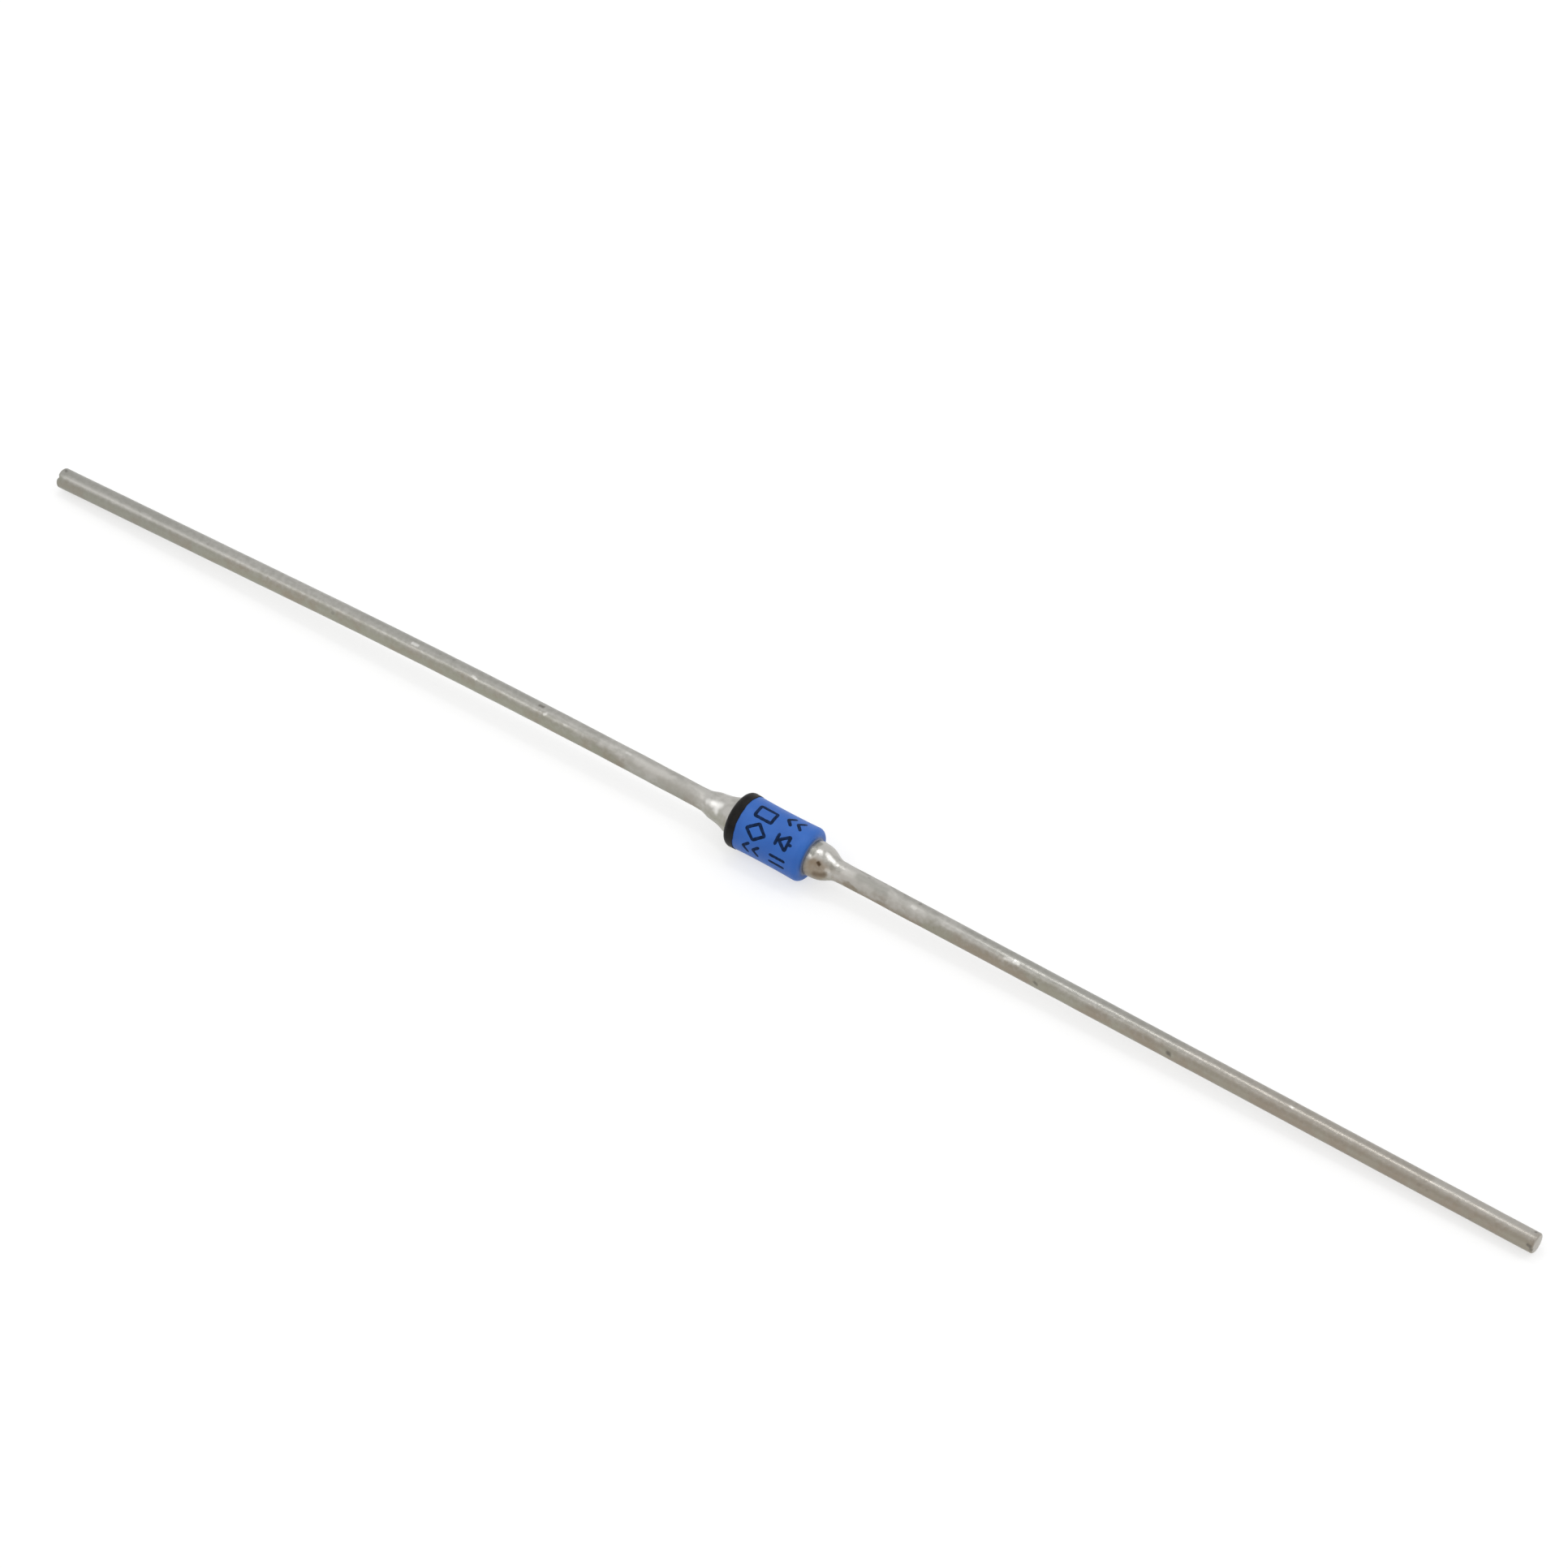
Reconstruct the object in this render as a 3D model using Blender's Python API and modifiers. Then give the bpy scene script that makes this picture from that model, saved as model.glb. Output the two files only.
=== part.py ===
"""Axial rectifier diode: a fused-glass body in blue enamel, with soldered wire leads.

The diode lies on z = 0 with the middle of its body over the origin, and +X runs out along
the anode lead. The black band is at the cathode end, on the -X side. The body's own pieces
are drawn upright, with +Z towards the anode, and the empty diode_axis lays them down.
"""

import math
from collections import namedtuple

import bmesh
import bpy
from mathutils import Matrix, Vector

MM = 0.001

# The coated body
BODY_LENGTH = 3.11 * MM
BODY_DIAMETER = 2.06 * MM
SHOULDER_RADIUS = 0.22 * MM
WAIST_DEPTH = 0.025 * MM
ENAMEL_THICKNESS = 0.05 * MM
BODY_TILT = math.radians(0.9)

# The black band at the cathode end, its width measured along the axis from the end face
BAND_WIDTH = 0.44 * MM
BAND_THICKNESS = 0.018 * MM
BAND_FACE_RADIUS = 0.79 * MM

# Terminal pins, and the chip bonded between them
PIN_DIAMETER = 1.27 * MM
PIN_CHAMFER = 0.04 * MM
DIE_SIDE = 0.86 * MM
DIE_TOP_SIDE = 0.78 * MM
DIE_THICKNESS = 0.25 * MM
BOND_DIAMETER = 0.74 * MM
BOND_THICKNESS = 0.03 * MM

# Wire leads, their length measured along the wire from the body's end face
LEAD_DIAMETER = 0.76 * MM
ANODE_LEAD_LENGTH = 29.3 * MM
CATHODE_LEAD_LENGTH = 29.94 * MM
ANODE_BEND_START = 2.2 * MM
ANODE_BEND_LENGTH = 24.0 * MM
CATHODE_BEND_START = 3.5 * MM
CATHODE_BEND_LENGTH = 15.0 * MM
TIP_ROUNDING = 0.09 * MM
TIP_LIFT = 0.10 * MM

# The crease that the side cutter left across the cathode lead's end
CREASE_WIDTH = 0.13 * MM
CREASE_DEPTH = 0.045 * MM
CREASE_OFFSET = 0.05 * MM
CREASE_ANGLE = math.radians(54.0)

# Solder: a film between pin and wire, and a bead that runs out along the wire.
# fullness and taper shape the bead's side, and the ridge is a swelling part way along it.
SOLDER_FILM = 0.05 * MM
SOLDER_EDGE = 0.010 * MM
LOBE_HEIGHT = 0.012 * MM
Bead = namedtuple("Bead", "base_radius length fullness taper ridge_height ridge_at ridge_spread lobes")
ANODE_BEAD = Bead(0.667 * MM, 1.25 * MM, 4.0, 3.6, 0.0, 0.65 * MM, 0.27 * MM, 3)
CATHODE_BEAD = Bead(0.73 * MM, 1.45 * MM, 1.3, 2.0, 0.058 * MM, 1.00 * MM, 0.27 * MM, 5)

# Clearance between pieces that meet, kept small because the whole body is 2 mm across
JOINT_GAP = 0.006 * MM

# Facets
SIDES = 48
ARC_STEPS = 5
WALL_STEPS = 6
BEAD_STEPS = 12
LEAD_POINTS = 17
LEAD_BEVEL_RESOLUTION = 6
TIP_SEGMENTS = 3
MERGE_DISTANCE = 0.0001 * MM

BODY_RADIUS = BODY_DIAMETER / 2
PIN_RADIUS = PIN_DIAMETER / 2
LEAD_RADIUS = LEAD_DIAMETER / 2
FACE_Z = BODY_LENGTH / 2
BOND_TOP = DIE_THICKNESS / 2 + JOINT_GAP + BOND_THICKNESS


def clear_scene():
    for old in list(bpy.data.objects):
        bpy.data.objects.remove(old)


def make_collection(name):
    collection = bpy.data.collections.new(name)
    bpy.context.scene.collection.children.link(collection)
    return collection


def make_material(name, colour, roughness, metallic=0.0):
    material = bpy.data.materials.new(name)
    material.use_nodes = True
    shader = material.node_tree.nodes["Principled BSDF"]
    shader.inputs["Base Color"].default_value = (*colour, 1.0)
    shader.inputs["Roughness"].default_value = roughness
    shader.inputs["Metallic"].default_value = metallic
    return material


def add_object(name, data, collection, material=None, parent=None):
    piece = bpy.data.objects.new(name, data)
    collection.objects.link(piece)
    piece.parent = parent
    if material:
        data.materials.append(material)
    return piece


def evaluated_mesh(piece):
    """The piece's mesh with its curve and modifiers worked out, and close points welded."""
    bpy.context.view_layer.update()
    graph = bpy.context.evaluated_depsgraph_get()
    mesh = bpy.data.meshes.new_from_object(piece.evaluated_get(graph))
    work = bmesh.new()
    work.from_mesh(mesh)
    bmesh.ops.remove_doubles(work, verts=work.verts, dist=MERGE_DISTANCE)
    work.to_mesh(mesh)
    work.free()
    return mesh


def smooth(mesh):
    mesh.shade_smooth()
    mesh.set_sharp_from_angle(angle=math.radians(35))


def turned(name, profile, closed, material, faces_cathode=False):
    """A turned solid from (radius, height) points that run down its outer side.

    A flat of every turned piece faces the floor, so that pieces inside each other line up.
    """
    mesh = bpy.data.meshes.new(name)
    points = [(radius, 0.0, height) for radius, height in profile]
    edges = [(i, i + 1) for i in range(len(points) - 1)]
    if closed:
        edges.append((len(points) - 1, 0))
    mesh.from_pydata(points, edges, [])
    piece = add_object(name, mesh, diode, material, diode_axis)
    piece.rotation_euler = (math.pi if faces_cathode else 0.0, 0.0, math.pi / SIDES)
    screw = piece.modifiers.new("turn", "SCREW")
    screw.axis = "Z"
    screw.steps = SIDES
    screw.render_steps = SIDES
    screw.use_merge_vertices = True
    screw.merge_threshold = MERGE_DISTANCE
    screw.use_smooth_shade = True
    return piece


def body_outline(inset, hole_radius):
    """The rounded body's outline from the anode face to the cathode face, moved in by inset."""
    corner = max(SHOULDER_RADIUS - inset, SHOULDER_RADIUS / 5)
    corner_radius = BODY_RADIUS - inset - corner
    corner_z = FACE_Z - inset - corner
    arc = []
    for step in range(ARC_STEPS + 1):
        turn = math.radians(90) * step / ARC_STEPS
        arc.append((corner_radius + corner * math.sin(turn), corner_z + corner * math.cos(turn)))
    wall = []
    for step in range(1, WALL_STEPS):
        along = 1 - 2 * step / WALL_STEPS
        wall.append((BODY_RADIUS - inset - WAIST_DEPTH * (1 - along ** 2), corner_z * along))
    mirrored_arc = [(radius, -z) for radius, z in reversed(arc)]
    face_z = FACE_Z - inset
    return [(hole_radius, face_z)] + arc + wall + mirrored_arc + [(hole_radius, -face_z)]


def band_outline(inset):
    """The stretch of the body's outline that the band covers, moved out by -inset."""
    edge_z = BAND_WIDTH - FACE_Z
    outline = body_outline(inset, BAND_FACE_RADIUS)
    above = [point for point in outline if point[1] >= edge_z][-1]
    below = [point for point in outline if point[1] < edge_z]
    share = (above[1] - edge_z) / (above[1] - below[0][1])
    edge_radius = above[0] + share * (below[0][0] - above[0])
    return [(edge_radius, edge_z)] + below


def pin(name, faces_cathode):
    foot = BOND_TOP + JOINT_GAP
    profile = [
        (0.0, FACE_Z),
        (PIN_RADIUS - PIN_CHAMFER, FACE_Z),
        (PIN_RADIUS, FACE_Z - PIN_CHAMFER),
        (PIN_RADIUS, foot + PIN_CHAMFER),
        (PIN_RADIUS - PIN_CHAMFER, foot),
        (0.0, foot),
    ]
    return turned(name, profile, False, pin_metal, faces_cathode)


def die_bond(name, faces_cathode):
    foot = DIE_THICKNESS / 2 + JOINT_GAP
    radius = BOND_DIAMETER / 2
    profile = [(0.0, BOND_TOP), (radius, BOND_TOP), (radius, foot), (0.0, foot)]
    return turned(name, profile, False, bond_metal, faces_cathode)


def silicon_chip():
    """A square chip whose etched edge slopes in towards the anode side."""
    mesh = bpy.data.meshes.new("silicon_die")
    work = bmesh.new()
    bmesh.ops.create_cone(
        work,
        cap_ends=True,
        segments=4,
        radius1=DIE_SIDE / math.sqrt(2),
        radius2=DIE_TOP_SIDE / math.sqrt(2),
        depth=DIE_THICKNESS,
        matrix=Matrix.Rotation(math.radians(45), 4, "Z"),
    )
    work.to_mesh(mesh)
    work.free()
    return add_object("silicon_die", mesh, diode, silicon, diode_axis)


def glass_body():
    """The glass fused round the pins, which closes in between them on the chip."""
    bore = PIN_RADIUS + JOINT_GAP
    chip_room = DIE_SIDE / math.sqrt(2) + JOINT_GAP
    rib = [(bore, -BOND_TOP), (chip_room, -BOND_TOP), (chip_room, BOND_TOP), (bore, BOND_TOP)]
    outer = body_outline(ENAMEL_THICKNESS + JOINT_GAP, bore)
    return turned("glass_sleeve", outer + rib, True, glass)


def enamel_coat():
    hole = PIN_RADIUS + JOINT_GAP
    outer = body_outline(0.0, hole)
    inner = body_outline(ENAMEL_THICKNESS, hole)
    return turned("blue_enamel_coat", outer + inner[::-1], True, blue_enamel)


def cathode_band():
    outer = band_outline(-JOINT_GAP - BAND_THICKNESS)
    inner = band_outline(-JOINT_GAP)
    return turned("cathode_band", outer + inner[::-1], True, band_ink)


def bead_radius(bead, distance):
    """The bead's radius at a distance from the body's face."""
    along = min(distance / bead.length, 1.0)
    wire = LEAD_RADIUS + SOLDER_EDGE
    swell = (bead.base_radius - wire) * (1 - along ** bead.fullness) ** bead.taper
    ridge = bead.ridge_height * math.exp(-(((distance - bead.ridge_at) / bead.ridge_spread) ** 2))
    return wire + swell + ridge * (1 - along ** 8)


def solder_bead(name, bead, faces_cathode):
    """Solder that holds the wire's end to the pin: a cup round the wire, with a film under it."""
    base_z = FACE_Z + JOINT_GAP
    film_z = base_z + SOLDER_FILM
    socket = LEAD_RADIUS + JOINT_GAP
    profile = [(0.0, film_z), (socket, film_z), (socket, base_z + bead.length)]
    for step in range(BEAD_STEPS, -1, -1):
        distance = bead.length * step / BEAD_STEPS
        profile.append((bead_radius(bead, distance), base_z + distance))
    profile.append((0.0, base_z))
    piece = turned(name, profile, False, solder, faces_cathode)
    mesh = evaluated_mesh(piece)
    for vertex in mesh.vertices:
        push_out_lobes(vertex.co, bead)
    smooth(mesh)
    piece.modifiers.clear()
    piece.data = mesh
    return piece


def push_out_lobes(point, bead):
    """Molten solder sets a little out of round, most where the bead stands furthest out."""
    radius = math.hypot(point.x, point.y)
    inner = LEAD_RADIUS + SOLDER_EDGE
    if radius <= inner:
        return
    height = (radius - inner) / (bead.base_radius - inner)
    turn = math.atan2(point.y, point.x)
    push = LOBE_HEIGHT * height * math.sin(bead.lobes * turn + point.z / bead.length)
    point.x *= 1 + push / radius
    point.y *= 1 + push / radius


def body_rest_height():
    """Height of the body's middle when its tilted side touches z = 0 along a flat."""
    flat = math.cos(math.pi / SIDES)
    reach = [
        radius * flat * math.cos(BODY_TILT) + z * math.sin(BODY_TILT)
        for radius, z in body_outline(0.0, PIN_RADIUS)
    ]
    return max(reach)


def walk_wire(start, outward, length, bend_start, bend_length, turn):
    """Points along a wire that runs straight, bends evenly down by turn and runs straight."""
    step = length / (LEAD_POINTS - 1)
    exit_heading = -outward * BODY_TILT
    point = Vector(start)
    points = [point.copy()]
    for index in range(LEAD_POINTS - 1):
        middle = (index + 0.5) * step
        bent = min(max((middle - bend_start) / bend_length, 0.0), 1.0)
        heading = exit_heading - turn * bent
        point += step * Vector((outward * math.cos(heading), 0.0, math.sin(heading)))
        points.append(point.copy())
    return points


def wire_lead(name, outward, length, bend_start, bend_length):
    """A tinned wire, soldered in at the body and bent until its cut end is just off the floor."""
    seat = JOINT_GAP + SOLDER_FILM + JOINT_GAP
    along_axis = outward * (FACE_Z + seat)
    start = Vector((along_axis * math.cos(BODY_TILT), 0.0, -along_axis * math.sin(BODY_TILT)))
    start.z += body_rest_height()
    length -= seat
    bend_start -= seat
    lever = length - bend_start - bend_length / 2
    turn = 0.0
    for attempt in range(8):
        points = walk_wire(start, outward, length, bend_start, bend_length, turn)
        turn += (points[-1].z - LEAD_RADIUS - TIP_LIFT) / lever

    curve = bpy.data.curves.new(name, "CURVE")
    curve.dimensions = "3D"
    curve.bevel_depth = LEAD_RADIUS
    curve.bevel_resolution = LEAD_BEVEL_RESOLUTION
    curve.use_fill_caps = True
    spline = curve.splines.new("POLY")
    spline.points.add(LEAD_POINTS - 1)
    for spline_point, point in zip(spline.points, points):
        spline_point.co = (*point, 1.0)
    guide = add_object(name + "_route", curve, cutters)
    mesh = evaluated_mesh(guide)
    bpy.data.objects.remove(guide)

    round_tip(mesh, points[-1], points[-1] - points[-2])
    smooth(mesh)
    mesh.materials.clear()
    return add_object(name, mesh, diode, tinned_wire), points


def round_tip(mesh, tip, heading):
    """Rounds the edge of the wire's cut end, which lies at tip and faces along heading."""
    heading = heading.normalized()
    work = bmesh.new()
    work.from_mesh(mesh)
    at_tip = {
        vertex
        for vertex in work.verts
        if abs((vertex.co - tip).dot(heading)) < LEAD_RADIUS / 100
    }
    cap = [face for face in work.faces if at_tip.issuperset(face.verts)]
    bmesh.ops.dissolve_faces(work, faces=cap)
    rim = [edge for edge in work.edges if at_tip.issuperset(edge.verts)]
    bmesh.ops.bevel(
        work,
        geom=rim,
        offset=TIP_ROUNDING,
        segments=TIP_SEGMENTS,
        profile=0.5,
        affect="EDGES",
        clamp_overlap=True,
    )
    bmesh.ops.recalc_face_normals(work, faces=work.faces)
    work.to_mesh(mesh)
    work.free()


def crease_tip(lead, points):
    """Cuts the shallow V crease that the side cutter left across the wire's end."""
    heading = (points[-1] - points[-2]).normalized()
    mesh = bpy.data.meshes.new("crease_cutter")
    work = bmesh.new()
    bmesh.ops.create_cone(
        work,
        cap_ends=True,
        segments=4,
        radius1=CREASE_WIDTH / 2,
        radius2=CREASE_WIDTH / 2,
        depth=4 * LEAD_RADIUS,
    )
    work.to_mesh(mesh)
    work.free()
    cutter = add_object("crease_cutter", mesh, cutters)
    cutter.hide_render = True
    cutter.display_type = "WIRE"
    along = Vector((0.0, -math.cos(CREASE_ANGLE), math.sin(CREASE_ANGLE)))
    along = (along - heading * along.dot(heading)).normalized()
    across = along.cross(heading)
    depth_scale = CREASE_DEPTH / (CREASE_WIDTH / 2)
    place = Matrix((heading * depth_scale, across, along)).transposed().to_4x4()
    place.translation = points[-1] + across * CREASE_OFFSET
    mesh.transform(place)
    cut = lead.modifiers.new("crease", "BOOLEAN")
    cut.operation = "DIFFERENCE"
    cut.solver = "EXACT"
    cut.object = cutter


clear_scene()
diode = make_collection("rectifier_diode")
cutters = make_collection("cutters")

tinned_wire = make_material("tinned_wire", (0.33, 0.32, 0.30), 0.42, 0.9)
solder = make_material("solder", (0.50, 0.48, 0.45), 0.25, 0.95)
blue_enamel = make_material("blue_enamel", (0.045, 0.15, 0.50), 0.38)
band_ink = make_material("band_ink", (0.016, 0.015, 0.014), 0.45)
glass = make_material("sealing_glass", (0.55, 0.62, 0.58), 0.1)
pin_metal = make_material("pin_metal", (0.36, 0.35, 0.34), 0.35, 1.0)
bond_metal = make_material("bond_metal", (0.70, 0.69, 0.67), 0.3, 1.0)
silicon = make_material("silicon", (0.10, 0.10, 0.12), 0.2, 0.6)

diode_axis = add_object("diode_axis", None, diode)
diode_axis.location.z = body_rest_height()
diode_axis.rotation_euler.y = math.radians(90) + BODY_TILT

silicon_chip()
die_bond("anode_die_bond", False)
die_bond("cathode_die_bond", True)
pin("anode_pin", False)
pin("cathode_pin", True)
glass_body()
enamel_coat()
cathode_band()
solder_bead("anode_solder_bead", ANODE_BEAD, False)
solder_bead("cathode_solder_bead", CATHODE_BEAD, True)
wire_lead("anode_lead", 1, ANODE_LEAD_LENGTH, ANODE_BEND_START, ANODE_BEND_LENGTH)
cathode_lead, cathode_points = wire_lead(
    "cathode_lead", -1, CATHODE_LEAD_LENGTH, CATHODE_BEND_START, CATHODE_BEND_LENGTH
)
crease_tip(cathode_lead, cathode_points)
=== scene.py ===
"""Looks of the axial rectifier diode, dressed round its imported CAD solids.

The diode lies along X with its cathode band on the -X side. Sizes are in metres, written as
millimetres times MM. The body's own pieces are drawn upright and laid down by DIODE_AXIS.
"""

import math

import bpy
from mathutils import Matrix, Vector


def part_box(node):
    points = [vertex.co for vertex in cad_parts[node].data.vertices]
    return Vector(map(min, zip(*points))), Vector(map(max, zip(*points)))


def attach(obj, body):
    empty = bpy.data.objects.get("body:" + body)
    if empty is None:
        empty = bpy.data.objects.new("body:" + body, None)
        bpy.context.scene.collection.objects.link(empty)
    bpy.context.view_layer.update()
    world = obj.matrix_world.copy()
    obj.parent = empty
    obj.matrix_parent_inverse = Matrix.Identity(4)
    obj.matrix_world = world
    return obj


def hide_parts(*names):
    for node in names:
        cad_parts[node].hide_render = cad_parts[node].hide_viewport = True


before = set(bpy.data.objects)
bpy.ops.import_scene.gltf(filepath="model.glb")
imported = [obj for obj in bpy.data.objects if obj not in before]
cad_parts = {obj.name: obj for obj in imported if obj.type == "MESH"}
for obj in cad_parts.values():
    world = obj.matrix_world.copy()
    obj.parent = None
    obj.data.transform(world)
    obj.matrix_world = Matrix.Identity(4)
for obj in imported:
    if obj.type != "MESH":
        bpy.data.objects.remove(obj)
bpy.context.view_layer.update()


# Silicon chip
# A square of diffused silicon, sawn from a wafer and etched so that its edges slope.
# It lies between the two pins, sealed in by the glass, and its CAD solid shows as it is.

MM = 0.001
CHIP_GREY = (0.10, 0.10, 0.12, 1.0)
CHIP_ETCHED = (0.20, 0.20, 0.21, 1.0)
BROAD_EDGE = (0.34, 0.66)
FINE_RANGE = (0.25, 0.75)
SPECK_EDGE = (0.34, 0.16)
SPECKED_SHARE = 0.28


def add(tree, kind, inputs=None, **settings):
    """Adds a node. Each named or numbered input takes a value, or another node's output."""
    node = tree.nodes.new(kind)
    for setting, value in settings.items():
        setattr(node, setting, value)
    for place, value in (inputs or {}).items():
        if isinstance(value, bpy.types.NodeSocket):
            tree.links.new(value, node.inputs[place])
        else:
            node.inputs[place].default_value = value
    return node


def work(tree, operation, *terms):
    """The result of a math node, in a material or in a Geometry Nodes tree."""
    return add(tree, "ShaderNodeMath", dict(enumerate(terms)), operation=operation).outputs[0]


def vector_work(tree, operation, *terms):
    """The results of a vector math node: first its vector, then its value."""
    return add(tree, "ShaderNodeVectorMath", dict(enumerate(terms)), operation=operation).outputs


def soft_step(tree, value, start, end, low=0.0, high=1.0):
    """Goes softly from low, where value is at start, to high, where it is at end."""
    inputs = {"Value": value, "From Min": start, "From Max": end, "To Min": low, "To Max": high}
    return add(tree, "ShaderNodeMapRange", inputs, interpolation_type="SMOOTHSTEP").outputs[0]


def noise(tree, **inputs):
    """The value of a noise, which stays near 0.5. W is its seed."""
    return add(tree, "ShaderNodeTexNoise", inputs, noise_dimensions="4D").outputs["Fac"]


def drawn_out(tree, place, stretch):
    """A place squeezed along X, so that a pattern there is drawn out along the diode."""
    squeeze = work(tree, "DIVIDE", 1.0, stretch)
    along = add(tree, "ShaderNodeCombineXYZ", {"X": squeeze, "Y": 1.0, "Z": 1.0}).outputs[0]
    return vector_work(tree, "MULTIPLY", place, along)[0]


def name_sockets(group, side, names, kind="NodeSocketFloat"):
    """Gives a tree's INPUT or OUTPUT side one socket of a kind for each name."""
    for name in names:
        group.interface.new_socket(name, in_out=side, socket_type=kind)


def make_grain_group():
    """Unevenness of a metal or a glaze: broad patches, fine grain and a few specks, 0 to 1."""
    group = bpy.data.node_groups.new("surface_grain", "ShaderNodeTree")
    name_sockets(group, "INPUT", ["Patch Size", "Grain Size", "Speck Size", "Stretch", "Seed"])
    name_sockets(group, "OUTPUT", ["Patches", "Grain", "Specks"])
    given = add(group, "NodeGroupInput").outputs
    place = add(group, "ShaderNodeTexCoord").outputs["Object"]
    drawn = drawn_out(group, place, given["Stretch"])

    def noise_of(size, detail):
        scaled = vector_work(group, "DIVIDE", drawn, size)[0]
        return noise(group, Vector=scaled, W=given["Seed"], Scale=1.0, Detail=detail)

    patches = soft_step(group, noise_of(given["Patch Size"], 2.0), *BROAD_EDGE)
    grain = {"Value": noise_of(given["Grain Size"], 4.0)}
    grain.update({"From Min": FINE_RANGE[0], "From Max": FINE_RANGE[1]})
    cells = vector_work(group, "DIVIDE", place, given["Speck Size"])[0]
    speck = add(
        group,
        "ShaderNodeTexVoronoi",
        {"Vector": cells, "W": given["Seed"], "Scale": 1.0},
        voronoi_dimensions="4D",
    )
    near = soft_step(group, speck.outputs["Distance"], *SPECK_EDGE)
    chance = add(group, "ShaderNodeSeparateColor", {"Color": speck.outputs["Color"]}).outputs[0]
    specks = work(group, "MULTIPLY", near, work(group, "GREATER_THAN", chance, 1 - SPECKED_SHARE))
    fine = add(group, "ShaderNodeMapRange", grain).outputs[0]
    add(group, "NodeGroupOutput", {"Patches": patches, "Grain": fine, "Specks": specks})
    return group


SURFACE_GRAIN = make_grain_group()


def new_finish(name, patch, grain, speck=0.2 * MM, stretch=1.0, seed=0.0, **constants):
    """A material with a grain node of the given sizes, and constants set on its shader."""
    material = bpy.data.materials.new(name)
    material.use_nodes = True
    shader = material.node_tree.nodes["Principled BSDF"]
    for socket, value in constants.items():
        shader.inputs[socket.replace("_", " ")].default_value = value
    uneven = add(material.node_tree, "ShaderNodeGroup", node_tree=SURFACE_GRAIN)
    values = {"Patch Size": patch, "Grain Size": grain, "Speck Size": speck}
    values.update({"Stretch": stretch, "Seed": seed})
    for socket, value in values.items():
        uneven.inputs[socket].default_value = value
    return material, material.node_tree, shader, uneven.outputs


def blend_colours(tree, factor, first, second):
    """The colour that goes from first to second as factor goes from 0 to 1. The node keeps
    its two colours at places 6 and 7, and the blend at place 2."""
    mixed = add(tree, "ShaderNodeMix", data_type="RGBA")
    for place, value in ((0, factor), (6, first), (7, second)):
        if isinstance(value, bpy.types.NodeSocket):
            tree.links.new(value, mixed.inputs[place])
        else:
            mixed.inputs[place].default_value = value
    return mixed.outputs[2]


def spread(tree, value, low, high):
    """A value from 0 to 1, spread over low to high."""
    return add(tree, "ShaderNodeMapRange", {"Value": value, "To Min": low, "To Max": high}).outputs[0]


def raise_surface(tree, shader, height, depth):
    """Bumps the shader's surface by height, 0 to 1, over a depth in metres."""
    bump = add(tree, "ShaderNodeBump", {"Strength": 1.0, "Distance": depth, "Height": height})
    tree.links.new(bump.outputs[0], shader.inputs["Normal"])


def mottled_finish(name, colours, roughness, bump_depth, bumps="Grain", **settings):
    """A material whose colour wavers in patches between two colours and whose roughness and
    bumps follow its fine grain, or its specks."""
    material, tree, shader, grain = new_finish(name, **settings)
    tree.links.new(blend_colours(tree, grain["Patches"], *colours), shader.inputs["Base Color"])
    tree.links.new(spread(tree, grain["Grain"], *roughness), shader.inputs["Roughness"])
    raise_surface(tree, shader, grain[bumps], bump_depth)
    return material


def dress(node, material):
    """Gives its finish to a CAD node that shows as it is."""
    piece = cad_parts[node]
    for place in piece.material_slots:
        place.material = material


silicon = mottled_finish(
    "silicon",
    colours=(CHIP_GREY, CHIP_ETCHED),
    roughness=(0.12, 0.35),
    bump_depth=0.001 * MM,
    patch=0.2 * MM,
    grain=0.02 * MM,
    Metallic=0.6,
    IOR=3.4,
)
dress("silicon_die", silicon)


# Chip bonds
# A thin film of brazing metal on each side of the chip, which joins it to its pin.
# It melts and wets both faces when the diode is assembled in its furnace.

BOND_BRIGHT = (0.72, 0.71, 0.69, 1.0)
BOND_DULL = (0.50, 0.49, 0.47, 1.0)

bond_metal = mottled_finish(
    "bond_metal",
    colours=(BOND_BRIGHT, BOND_DULL),
    roughness=(0.22, 0.45),
    bump_depth=0.0015 * MM,
    patch=0.12 * MM,
    grain=0.02 * MM,
    seed=3.0,
    Metallic=1.0,
)
dress("anode_die_bond", bond_metal)
dress("cathode_die_bond", bond_metal)


# Terminal pins
# Two short slugs of refractory metal that take the heat and expand as the glass does.
# They are cut from rod and barrel-ground, and each has its chamfered rims from that.

PIN_GREY = (0.36, 0.35, 0.34, 1.0)
PIN_OXIDE = (0.22, 0.20, 0.19, 1.0)

pin_metal = mottled_finish(
    "pin_metal",
    colours=(PIN_GREY, PIN_OXIDE),
    roughness=(0.28, 0.50),
    bump_depth=0.002 * MM,
    patch=0.3 * MM,
    grain=0.03 * MM,
    seed=5.0,
    Metallic=1.0,
)
dress("anode_pin", pin_metal)
dress("cathode_pin", pin_metal)


# Sealing glass
# A sleeve of hard glass, melted on to both pins and the rim of the chip to make one sealed
# body. It is clear with a faint green cast, and fine bubbles stay in it from the melt.

GLASS_CLEAR = (0.74, 0.82, 0.78, 1.0)
GLASS_CORD = (0.62, 0.72, 0.67, 1.0)

sealing_glass = mottled_finish(
    "sealing_glass",
    colours=(GLASS_CLEAR, GLASS_CORD),
    roughness=(0.03, 0.09),
    bump_depth=0.004 * MM,
    bumps="Specks",
    patch=0.5 * MM,
    grain=0.08 * MM,
    speck=0.12 * MM,
    seed=7.0,
    Transmission_Weight=0.9,
    IOR=1.5,
)
dress("glass_sleeve", sealing_glass)


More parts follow.
